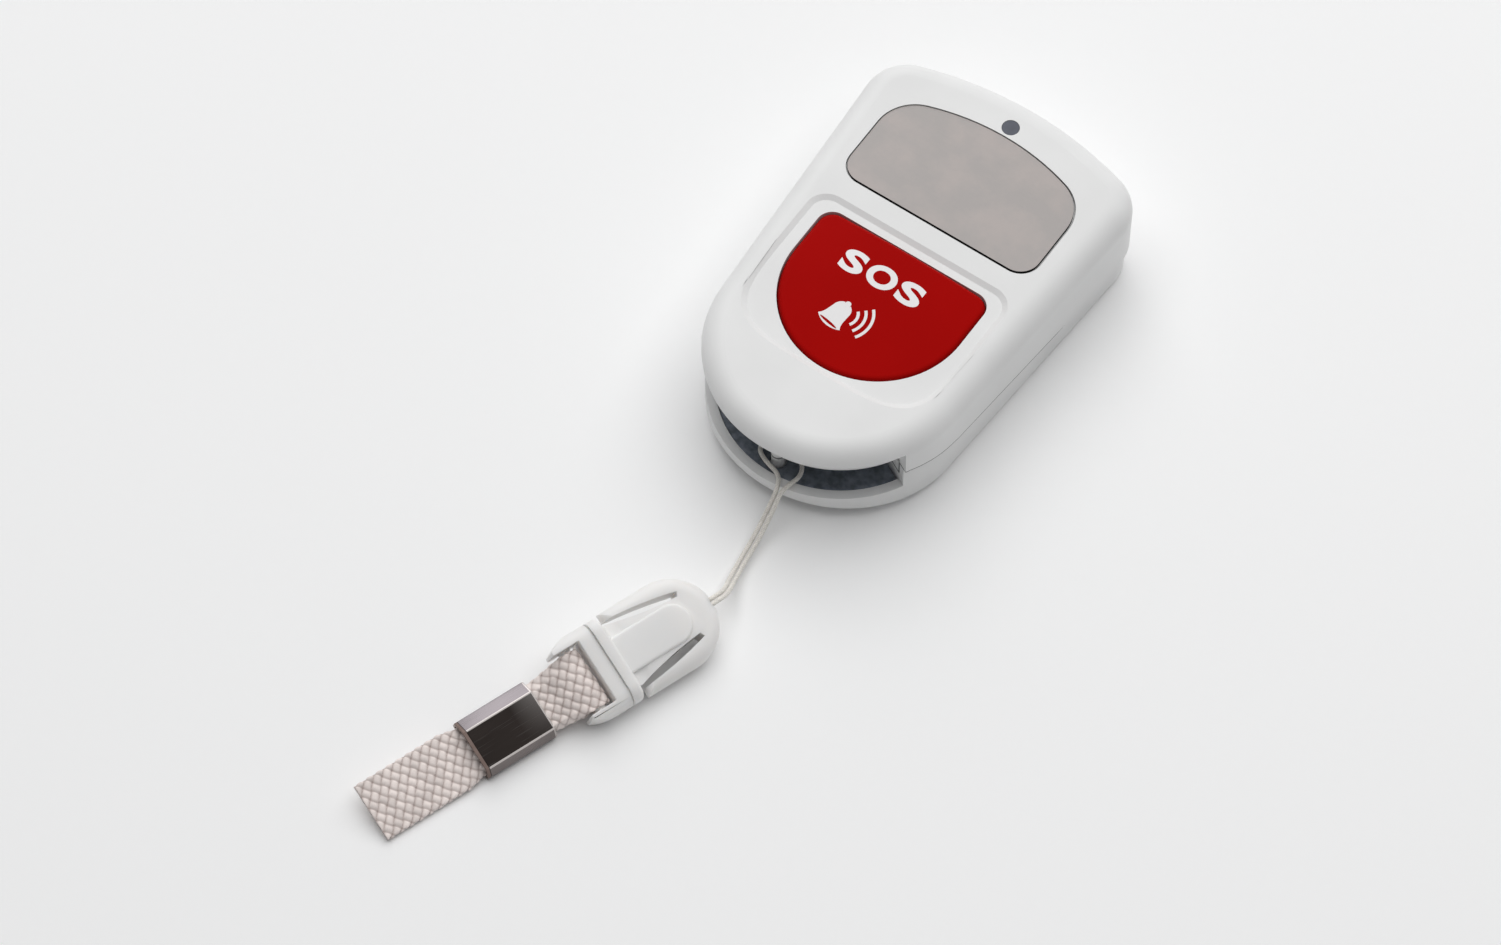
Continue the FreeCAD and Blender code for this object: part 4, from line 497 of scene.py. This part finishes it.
def wider_dish(name):
    """A copy of the front shell whose dish round the button is a wide rounded field."""
    piece = copied("top_shell", name)
    bpy.ops.object.transform_apply(location=True, rotation=True, scale=True)

    def inset_of(place):
        """How far inside the dish's edge a vertex of its slope lies, in millimetres, and None elsewhere."""
        x, y, z = place / MM
        inset = (DISH["face"] - z) * DISH["slope"]
        if not -DISH["above"] < inset < DISH["depth"] * DISH["slope"] + DISH["above"]:
            return None
        half, top, corner = DISH["half"] - inset, DISH["top"] - inset, DISH["corner"] - inset
        if y < DISH["centre_y"]:
            off = math.hypot(x, y - DISH["centre_y"]) - half
        elif abs(x) > half - corner and y > top - corner:
            off = math.hypot(abs(x) - (half - corner), y - (top - corner)) - corner
        else:
            off = max(abs(x) - half, y - top)
        return inset if abs(off) < DISH["near"] else None

    # The level edges of the lower half get more vertices
    mesh = piece.data
    half_way = DISH["centre_y"] * MM + 1e-6
    insets = [inset_of(vertex.co) if vertex.co.y < half_way else None for vertex in mesh.vertices]
    bpy.ops.object.mode_set(mode="EDIT")
    bpy.ops.mesh.select_mode(type="EDGE")
    bpy.ops.mesh.select_all(action="DESELECT")
    bpy.ops.object.mode_set(mode="OBJECT")
    for edge in mesh.edges:
        first, second = (insets[vertex] for vertex in edge.vertices)
        edge.select = None not in (first, second) and abs(first - second) < DISH["level"]
    bpy.ops.object.mode_set(mode="EDIT")
    bpy.ops.mesh.subdivide(number_cuts=3)
    bpy.ops.object.mode_set(mode="OBJECT")
    # The lower half moves out to its rounded square, the sides above it move with its ends
    normals = [Vector(corner.vector) for corner in mesh.corner_normals]
    insets = [inset_of(vertex.co) for vertex in mesh.vertices]
    for vertex, inset in zip(mesh.vertices, insets):
        if inset is None:
            continue
        x, y, z = vertex.co / MM
        if y < DISH["centre_y"]:
            angle = math.atan2(y - DISH["centre_y"], x)
            across = abs(math.cos(angle) / (DISH["wide"] - inset))
            down = abs(math.sin(angle) / (DISH["low"] - inset))
            out = (across ** DISH["square"] + down ** DISH["square"]) ** (-1 / DISH["square"])
            x, y = out * math.cos(angle), DISH["centre_y"] + out * math.sin(angle)
        else:
            x *= (DISH["wide"] - inset) / (DISH["half"] - inset)
        vertex.co = Vector((x, y, z)) * MM
    mesh.update()
    # Level faces and the slope are flat shaded, all others keep the solid's normals
    for face in mesh.polygons:
        if abs(face.normal.z) > 0.999 or None not in [insets[vertex] for vertex in face.vertices]:
            for corner in face.loop_indices:
                normals[corner] = face.normal.copy()
    mesh.normals_split_custom_set(normals)
    return piece


# Stage


def towards(point, spot):
    """Rotation of a lamp or camera at a spot that looks at a point."""
    return (point - spot).to_track_quat("-Z", "Y").to_euler()


def white_room():
    """A world that lights softly and is seen, mirrored and looked through as pure white."""
    world = bpy.data.worlds.new("soft_white_room")
    world.use_nodes = True
    nodes, links = world.node_tree.nodes, world.node_tree.links
    room = nodes["Background"]
    room.inputs["Color"].default_value = (0.97, 0.985, 1, 1)
    room.inputs["Strength"].default_value = 0.15
    seen = nodes.new("ShaderNodeBackground")
    seen.inputs["Color"].default_value = (1, 1, 1, 1)
    seen.inputs["Strength"].default_value = 1.0
    path = nodes.new("ShaderNodeLightPath")
    mixed = nodes.new("ShaderNodeMixShader")
    total = path.outputs["Is Camera Ray"]
    for ray in ("Is Glossy Ray", "Is Transmission Ray"):
        larger = nodes.new("ShaderNodeMath")
        larger.operation = "MAXIMUM"
        links.new(total, larger.inputs[0])
        links.new(path.outputs[ray], larger.inputs[1])
        total = larger.outputs[0]
    links.new(total, mixed.inputs[0])
    links.new(room.outputs[0], mixed.inputs[1])
    links.new(seen.outputs[0], mixed.inputs[2])
    links.new(mixed.outputs[0], nodes["World Output"].inputs["Surface"])
    return world


class PANIC_OT_stage(bpy.types.Operator):
    """Sets the pale table, soft lamps and the camera"""

    bl_idname = "panic.stage"
    bl_label = "Table, lamps and camera"

    def execute(self, context):
        colours = context.scene.panic_colours
        bpy.ops.object.select_all(action="DESELECT")
        bpy.ops.mesh.primitive_plane_add(size=6, location=(0, -0.02, -0.00004))
        table = context.active_object
        table.name = "table_top"
        table.data.materials.append(table_paint(colours.table))

        for name, spot, side, watts, mirrored in LAMPS:
            bpy.ops.object.light_add(type="AREA", location=spot)
            lamp = context.active_object
            lamp.name = name
            lamp.data.shape = "SQUARE"
            lamp.data.size = side
            lamp.data.energy = watts
            lamp.visible_glossy = mirrored
            lamp.rotation_euler = towards(LAMPS_LOOK_AT, Vector(spot))

        target = Vector(CAMERA["target"])
        turn, rise = math.radians(CAMERA["turn"]), math.radians(CAMERA["rise"])
        back = Vector((math.sin(turn) * math.cos(rise), -math.cos(turn) * math.cos(rise), math.sin(rise)))
        spot = target + back * CAMERA["away"]
        bpy.ops.object.camera_add(location=spot)
        camera = context.active_object
        camera.name = "photo_camera"
        camera.rotation_euler = towards(target, spot)
        camera.data.sensor_width = CAMERA["sensor"]
        camera.data.lens = CAMERA["focal_pixels"] / CAMERA["width_pixels"] * CAMERA["sensor"]
        camera.data.clip_start = 0.01
        context.scene.camera = camera

        context.scene.world = white_room()
        context.scene.view_settings.view_transform = "Standard"
        return {"FINISHED"}


# Housing


class PANIC_OT_housing(bpy.types.Operator):
    """Finishes both shells, the dark tray and the screws"""

    bl_idname = "panic.housing"
    bl_label = "Housing"

    def execute(self, context):
        colours = context.scene.panic_colours
        shell = moulded("shell_plastic", colours.shell, 0.36, 5200, SEAM)
        front = settle(wider_dish("front_shell"), shell, "root")
        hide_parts("top_shell")
        dress("bottom_shell", shell)
        dress("inner_tray", moulded("tray_plastic", colours.tray, 0.5, 3600, mottle=(1100, 0.4)))
        dress("housing_screws", sheet_metal("screw_steel", SCREW_STEEL, 0.3, 2200, 5200))
        return {"FINISHED"}


class PANIC_OT_face(bpy.types.Operator):
    """Finishes the bare plate, its film and the signal lamp"""

    bl_idname = "panic.face"
    bl_label = "Plate and lamp"

    def execute(self, context):
        colours = context.scene.panic_colours
        plate = copied("badge_plate", "metal_plate")
        plate.location += Vector(PLATE_SHIFT)
        # The plate's sides under its top edge get painted shade, near black, as the gap round it
        settle(plate, sheet_metal("plate_sheet", colours.plate, 0.3, 260, 9000, PLATE_GAP_SHADE_TOP), "root")
        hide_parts("badge_plate")
        dress("plate_adhesive", moulded("adhesive_film", FILM_GREY, 0.6, 2400))
        dress("status_lens", clear_plastic("lamp_lens", colours.lens))
        dress("indicator_led", clear_plastic("led_epoxy", EPOXY_RED))
        return {"FINISHED"}


# Button and its sign


def arc(centre, radius, start, stop, steps=16):
    """Points on an arc, angles in degrees."""
    angles = [math.radians(start + (stop - start) * step / steps) for step in range(steps + 1)]
    return [(centre[0] + radius * math.cos(angle), centre[1] + radius * math.sin(angle)) for angle in angles]


def inked(name, loops, turn, centre, ink, material):
    """Prints flat closed loops, in millimetres, on the button."""
    shape = bpy.data.curves.new(name, "CURVE")
    shape.dimensions = "2D"
    shape.fill_mode = "BOTH"
    shape.extrude = SIGN_BODY
    for loop in loops:
        spline = shape.splines.new("POLY")
        spline.points.add(len(loop) - 1)
        for point, (x, y) in zip(spline.points, loop):
            point.co = (x * MM, y * MM, 0, 1)
        spline.use_cyclic_u = True
    sign = bpy.data.objects.new(name, shape)
    bpy.context.collection.objects.link(sign)
    print_on(sign, turn, centre, ink, material)


def print_on(sign, turn, centre, ink, material):
    """Turns a flat curve or text into a mesh that follows the button's crown."""
    sign.location = (centre[0] * MM, centre[1] * MM, 0)
    sign.rotation_euler = (0, 0, math.radians(turn))
    lone(sign)
    bpy.ops.object.convert(target="MESH")
    bpy.ops.object.transform_apply(location=True, rotation=True, scale=True)
    bpy.ops.object.mode_set(mode="EDIT")
    bpy.ops.mesh.select_all(action="SELECT")
    bpy.ops.mesh.quads_convert_to_tris(quad_method="BEAUTY", ngon_method="BEAUTY")
    bpy.ops.mesh.remove_doubles(threshold=0.000001)
    bpy.ops.object.mode_set(mode="OBJECT")
    radius, top, middle = CROWN["radius"] * MM, CROWN["top"] * MM, CROWN["centre_y"] * MM
    for vertex in sign.data.vertices:
        x, y, z = vertex.co
        crown = top - radius + math.sqrt(radius * radius - x * x - (y - middle) ** 2)
        vertex.co.z = crown + (ink if z > 0 else -SIGN_SINK)
    settle(sign, material, "button")


def bell_loops():
    """A hand bell from its mouth upwards: flared side, shoulders and knob, and the hollow of the mouth."""
    left = [(-1.87, 0.05), (-1.6, 0.42), (-1.42, 0.95), (-1.34, 1.6), (-1.27, 2.2)]
    right = [(-x, y) for x, y in reversed(left)]
    shoulders = arc((0, 2.2), 1.27, 172, 112, 6), arc((0, 2.2), 1.27, 68, 8, 6)
    knob = arc((0, 3.38), 0.4, 205, -25, 12)
    mouth = arc((0, 2.66), 3.21, -56, -124, 12)
    angles = [turn * math.pi / 12 for turn in range(24)]
    hollow = [(1.42 * math.cos(angle), -0.06 + 0.19 * math.sin(angle)) for angle in angles]
    return [left + shoulders[0] + knob + shoulders[1] + right + mouth, hollow]


def wave_loop(radius):
    """One of the waves to the right of the bell, a bent bar round a point beside it."""
    half = WAVE_HALF_ANGLE
    outer = arc((0, 0), radius + WAVE_WIDTH / 2, -half, half, 18)
    return outer + arc((0, 0), radius - WAVE_WIDTH / 2, half, -half, 18)


class PANIC_OT_button(bpy.types.Operator):
    """Finishes the red button and prints its plain sign: distress letters and a ringing bell"""

    bl_idname = "panic.button"
    bl_label = "Button"

    def execute(self, context):
        colours = context.scene.panic_colours
        ink_height = context.scene.panic_sizes.ink
        dress("alarm_button", moulded("button_plastic", colours.button, 0.36, 5200, specular_ior_level=0.03))
        ink = moulded("sign_ink", colours.sign, 0.45, 4200)
        for number, (letter, left, right) in enumerate(LETTERS, start=1):
            bpy.ops.object.select_all(action="DESELECT")
            bpy.ops.object.text_add(location=(0, 0, 0))
            sign = context.active_object
            sign.name = f"sign_letter_{number}"
            text = sign.data
            text.body = letter
            text.size = 0.0046
            text.offset = 0.00018
            text.extrude = SIGN_BODY
            text.align_x = "CENTER"
            text.align_y = "CENTER"
            text.resolution_u = 10
            context.view_layer.update()
            wide, tall = sign.dimensions.x, sign.dimensions.y
            middle = (Vector(sign.bound_box[0]) + Vector(sign.bound_box[6])) / 2
            across, up = (right - left) * MM / wide, LETTER_HEIGHT * MM / tall
            sign.scale = (across, up, 1)
            centre = ((left + right) / 2 - middle.x * across / MM, LETTER_MIDDLE - middle.y * up / MM)
            print_on(sign, 0, centre, ink_height, ink)
        inked("sign_bell", bell_loops(), BELL_TURN, BELL_PLACE, ink_height, ink)
        for number, radius in enumerate(WAVES, start=1):
            inked(f"sign_wave_{number}", [wave_loop(radius)], WAVE_TURN, WAVE_PLACE, ink_height, ink)
        return {"FINISHED"}


# Parts inside


class PANIC_OT_works(bpy.types.Operator):
    """Finishes the circuit board, switch, cell and the parts on the board"""

    bl_idname = "panic.works"
    bl_label = "Works inside"

    def execute(self, context):
        black = moulded("black_moulding", CASE_BLACK, 0.5, 4200)
        bright = sheet_metal("bright_tin", TIN, 0.2, 900, 3600)
        spring = sheet_metal("spring_sheet", SPRING_BRONZE, 0.24, 500, 5200)
        for nodes, material in (
            (("circuit_board",), laminate()),
            (("tact_switch_body", "tact_switch_plunger", "radio_chip", "code_chip"), black),
            (("tact_switch_cover", "coin_cell", "crystal_can"), bright),
            (("cell_clip_upper", "cell_contact_lower", "aerial_wire"), spring),
            (("chip_capacitor_1", "chip_capacitor_2", "chip_capacitor_3", "chip_capacitor_4"), ceramic()),
        ):
            for node in nodes:
                dress(node, material)
        return {"FINISHED"}


# Cord


def spline_points(name, route, steps):
    """Points along the smooth line of a route."""
    curve = bpy.data.curves.new(name, "CURVE")
    curve.dimensions = "3D"
    curve.resolution_u = steps
    spline = curve.splines.new("NURBS")
    spline.points.add(len(route) - 1)
    for point, place in zip(spline.points, route):
        point.co = (*place, 1)
    spline.order_u = 3
    spline.use_endpoint_u = True
    thread = bpy.data.objects.new(name, curve)
    bpy.context.collection.objects.link(thread)
    bpy.context.view_layer.update()
    line = bpy.data.meshes.new_from_object(thread)
    points = [vertex.co.copy() for vertex in line.vertices]
    bpy.data.objects.remove(thread)
    bpy.data.meshes.remove(line)
    return points


def resampled(points, pitch):
    """The same line with points a pitch apart, and their distances along it."""
    found, marks = [points[0].copy()], [0.0]
    gone, need = 0.0, pitch
    for first, second in zip(points, points[1:]):
        run = (second - first).length
        while run > 0 and gone + run >= need:
            found.append(first.lerp(second, (need - gone) / run))
            marks.append(need)
            need += pitch
        gone += run
    if gone - marks[-1] > pitch * 0.3:
        found.append(points[-1].copy())
        marks.append(gone)
    return found, marks


def heading(points, number):
    """Direction of a line at one of its points."""
    ahead = points[min(number + 1, len(points) - 1)] - points[max(number - 1, 0)]
    ahead.normalize()
    return ahead


def weave(across, along):
    """Height, tone and yarn place of a one-over-one braid at a point of the cloth, counted in crowns."""
    first, second = along + across, along - across
    column, row = math.floor(first), math.floor(second)
    if (column + row) % 2:
        side, run, bundle = first - column, second, column * 7 + 3
    else:
        side, run, bundle = second - row, first, row
    reach = run - math.floor(run)
    round_across = math.sqrt(max(0.0, 1 - (2 * side - 1) ** 2))
    round_along = math.sin(math.pi * (0.02 + 0.96 * reach)) ** 0.8
    tone = (math.sin(bundle * 12.9898 + math.floor(run) * 4.137) * 43758.5453) % 1.0
    return round_across ** 0.5 * round_along, tone, (side, run)


def skin(name, rings, heights, tones, yarns):
    """Mesh of rings of points, each ring closed, with both ends shut and the braid's values on it."""
    count = len(rings[0])
    points = [point for ring in rings for point in ring]
    faces = []
    for ring in range(len(rings) - 1):
        base, after = ring * count, (ring + 1) * count
        for step in range(count):
            nxt = (step + 1) % count
            faces.append((base + step, base + nxt, after + nxt, after + step))
    last = (len(rings) - 1) * count
    faces.append(tuple(reversed(range(count))))
    faces.append(tuple(range(last, last + count)))
    mesh = bpy.data.meshes.new(name)
    mesh.from_pydata(points, [], faces)
    crown = mesh.attributes.new("crown", "FLOAT", "POINT")
    crown.data.foreach_set("value", heights)
    tone = mesh.attributes.new("tone", "FLOAT", "POINT")
    tone.data.foreach_set("value", tones)
    layer = mesh.uv_layers.new(name="yarn")
    for loop in mesh.loops:
        layer.data[loop.index].uv = yarns[loop.vertex_index]
    mesh.update()
    piece = bpy.data.objects.new(name, mesh)
    bpy.context.collection.objects.link(piece)
    lone(piece)
    bpy.ops.object.shade_smooth()
    bpy.ops.object.mode_set(mode="EDIT")
    bpy.ops.mesh.select_all(action="SELECT")
    bpy.ops.mesh.normals_make_consistent(inside=False)
    bpy.ops.object.mode_set(mode="OBJECT")
    return piece


class PANIC_OT_cord(bpy.types.Operator):
    """Lays the thin braided cord round its post"""

    bl_idname = "panic.cord"
    bl_label = "Cord"

    def execute(self, context):
        radius = context.scene.panic_sizes.cord_width / 2
        path = spline_points("cord_line", CORD_ROUTE, 14)
        points, marks = resampled(path, CORD_PITCH)
        relief = radius * CORD_RELIEF
        pitch = 2 * math.pi * radius / CORD_CROWNS * CORD_STRETCH
        normal = Vector((0, 0, 1))
        rings, heights, tones, yarns = [], [], [], []
        for number, point in enumerate(points):
            ahead = heading(points, number)
            normal = (normal - ahead * normal.dot(ahead)).normalized()
            side = ahead.cross(normal)
            ring = []
            for step in range(CORD_AROUND):
                angle = 2 * math.pi * step / CORD_AROUND
                height, tone, yarn = weave(angle / (2 * math.pi) * CORD_CROWNS, marks[number] / pitch)
                out = radius - relief + relief * height
                ring.append(point + (normal * math.cos(angle) + side * math.sin(angle)) * out)
                heights.append(height)
                tones.append(tone)
                yarns.append(yarn)
            rings.append(ring)
        cord = skin("thin_cord", rings, heights, tones, yarns)
        colours = context.scene.panic_colours
        # Half the cord's colour is the painted shade in its braid's valleys
        cord_paint = braid_paint("cord_yarn", colours.cord, shade(colours.cord, 0.5), 0.25)
        settle(cord, cord_paint, "root")
        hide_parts("lanyard_cord")
        return {"FINISHED"}


# Snap connector, strap and crimp


class PANIC_OT_snap(bpy.types.Operator):
    """Finishes the snap connector"""

    bl_idname = "panic.snap"
    bl_label = "Snap connector"

    def execute(self, context):
        clip = moulded(
            "clip_plastic", context.scene.panic_colours.clip, 0.3, 5600,
            subsurface_weight=0.5, subsurface_scale=0.0018, subsurface_radius=(1, 0.93, 0.86),
        )
        halves = ("buckle_socket", "clip_socket", "root"), ("buckle_tongue", "clip_tongue", "strap_end")
        for node, name, body in halves:
            half = settle(softened(node, name, CLIP_ROUNDING), clip, body)
            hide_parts(node)
        return {"FINISHED"}


def squeezed(place, half):
    """A place of the strap, in metres, pressed into the crimp's hollow where it is in or near the crimp."""
    x, y, z = place / MM
    away = max((y - CRIMP["near"]) / CRIMP["press_near"], (CRIMP["far"] - y) / CRIMP["press_far"], 0.0)
    if away >= 1:
        return place
    hold = 1 - away * away * (3 - 2 * away)
    narrow = x * CRIMP["half"] * MM / half
    start, slope = CRIMP["bevels"][x > 0]
    roof = CRIMP["roof"] - max(0.0, abs(narrow) - start) * slope
    press = (roof - CRIMP["floor"]) / (CRIMP["roof"] - CRIMP["floor"])
    low = CRIMP["floor"] + (z - CRIMP["floor"]) * press
    return Vector((x + (narrow - x) * hold, y, z + (low - z) * hold)) * MM


def flat_section(way, flat, thick):
    """Place and outward direction on a flat section with round sides, a way round it from its upper left."""
    side = math.pi * thick / 2
    if way < flat:
        return -flat / 2 + way, thick / 2, 0, 1
    if way < flat + side:
        angle = (way - flat) / (thick / 2)
        out, up = math.sin(angle), math.cos(angle)
        return flat / 2 + out * thick / 2, up * thick / 2, out, up
    if way < 2 * flat + side:
        return flat / 2 - (way - flat - side), -thick / 2, 0, -1
    angle = (way - 2 * flat - side) / (thick / 2)
    out, up = -math.sin(angle), -math.cos(angle)
    return -flat / 2 + out * thick / 2, up * thick / 2, out, up


class PANIC_OT_strap(bpy.types.Operator):
    """Braids the flat strap along its folded side view"""

    bl_idname = "panic.strap"
    bl_label = "Strap"

    def execute(self, context):
        sizes = context.scene.panic_sizes
        side_view = [(0.0, y * MM, z * MM) for y, z in STRAP_SIDE]
        points, marks = resampled(spline_points("strap_line", side_view, 40), STRAP_PITCH[0])
        wide, thick = sizes.strap_width, sizes.strap_thickness
        relief = thick * STRAP_RELIEF
        flat = wide - thick
        outer = 2 * flat + math.pi * thick
        count = int(outer / STRAP_PITCH[1]) // 2 * 2
        crowns = round(outer / sizes.braid_across)
        lie = Matrix.Translation(STRAP_BASE * MM) @ Euler(STRAP_TURN).to_matrix().to_4x4()
        rings, heights, tones, yarns = [], [], [], []
        for number, point in enumerate(points):
            ahead = heading(points, number)
            upward = Vector((0, -ahead.z, ahead.y))
            ring = []
            for step in range(count):
                way = outer * step / count
                x, up, nx, nup = flat_section(way, flat, thick)
                height, tone, yarn = weave(way / outer * crowns, marks[number] / sizes.braid_along)
                sink = relief * (height - 1)
                place = point + Vector((x + nx * sink, 0, 0)) + upward * (up + nup * sink)
                ring.append(lie @ squeezed(place, wide / 2))
                heights.append(height)
                tones.append(tone)
                yarns.append(yarn)
            rings.append(ring)
        strap = skin("flat_strap", rings, heights, tones, yarns)
        strap_paint = braid_paint("strap_yarn", context.scene.panic_colours.strap, STRAP_CREVICE_SHADE, 0.4)
        settle(strap, strap_paint, "strap_end")
        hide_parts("strap")
        return {"FINISHED"}


class PANIC_OT_crimp(bpy.types.Operator):
    """Finishes the dark nickel crimp"""

    bl_idname = "panic.crimp"
    bl_label = "Crimp"

    def execute(self, context):
        finish = nickel("crimp_nickel", context.scene.panic_colours.crimp)
        rounded = softened("strap_crimp", "nickel_crimp", CRIMP_ROUNDING)
        crimp = settle(rounded, finish, "strap_end")
        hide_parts("strap_crimp")
        return {"FINISHED"}


class PANIC_PT_steps(bpy.types.Panel):
    """Lists the steps in the order in which they are made"""

    bl_idname = "PANIC_PT_steps"
    bl_label = "Panic button"
    bl_space_type = "VIEW_3D"
    bl_region_type = "UI"
    bl_category = "Panic button"

    def draw(self, context):
        for group in (context.scene.panic_sizes, context.scene.panic_colours):
            for prop in group.__annotations__:
                self.layout.prop(group, prop)
        for step in STEPS:
            self.layout.operator(step.bl_idname)


STEPS = (
    PANIC_OT_stage, PANIC_OT_housing, PANIC_OT_face, PANIC_OT_button, PANIC_OT_works,
    PANIC_OT_snap, PANIC_OT_strap, PANIC_OT_crimp, PANIC_OT_cord,
)
CLASSES = (PANIC_PG_colours, PANIC_PG_sizes, *STEPS, PANIC_PT_steps)


def register():
    for entry in CLASSES:
        bpy.utils.register_class(entry)
    bpy.types.Scene.panic_colours = PointerProperty(type=PANIC_PG_colours)
    bpy.types.Scene.panic_sizes = PointerProperty(type=PANIC_PG_sizes)


def unregister():
    del bpy.types.Scene.panic_sizes
    del bpy.types.Scene.panic_colours
    for entry in reversed(CLASSES):
        bpy.utils.unregister_class(entry)


def main():
    register()
    for step in STEPS:
        getattr(bpy.ops.panic, step.bl_idname.split(".")[1])()


if __name__ == "__main__":
    main()
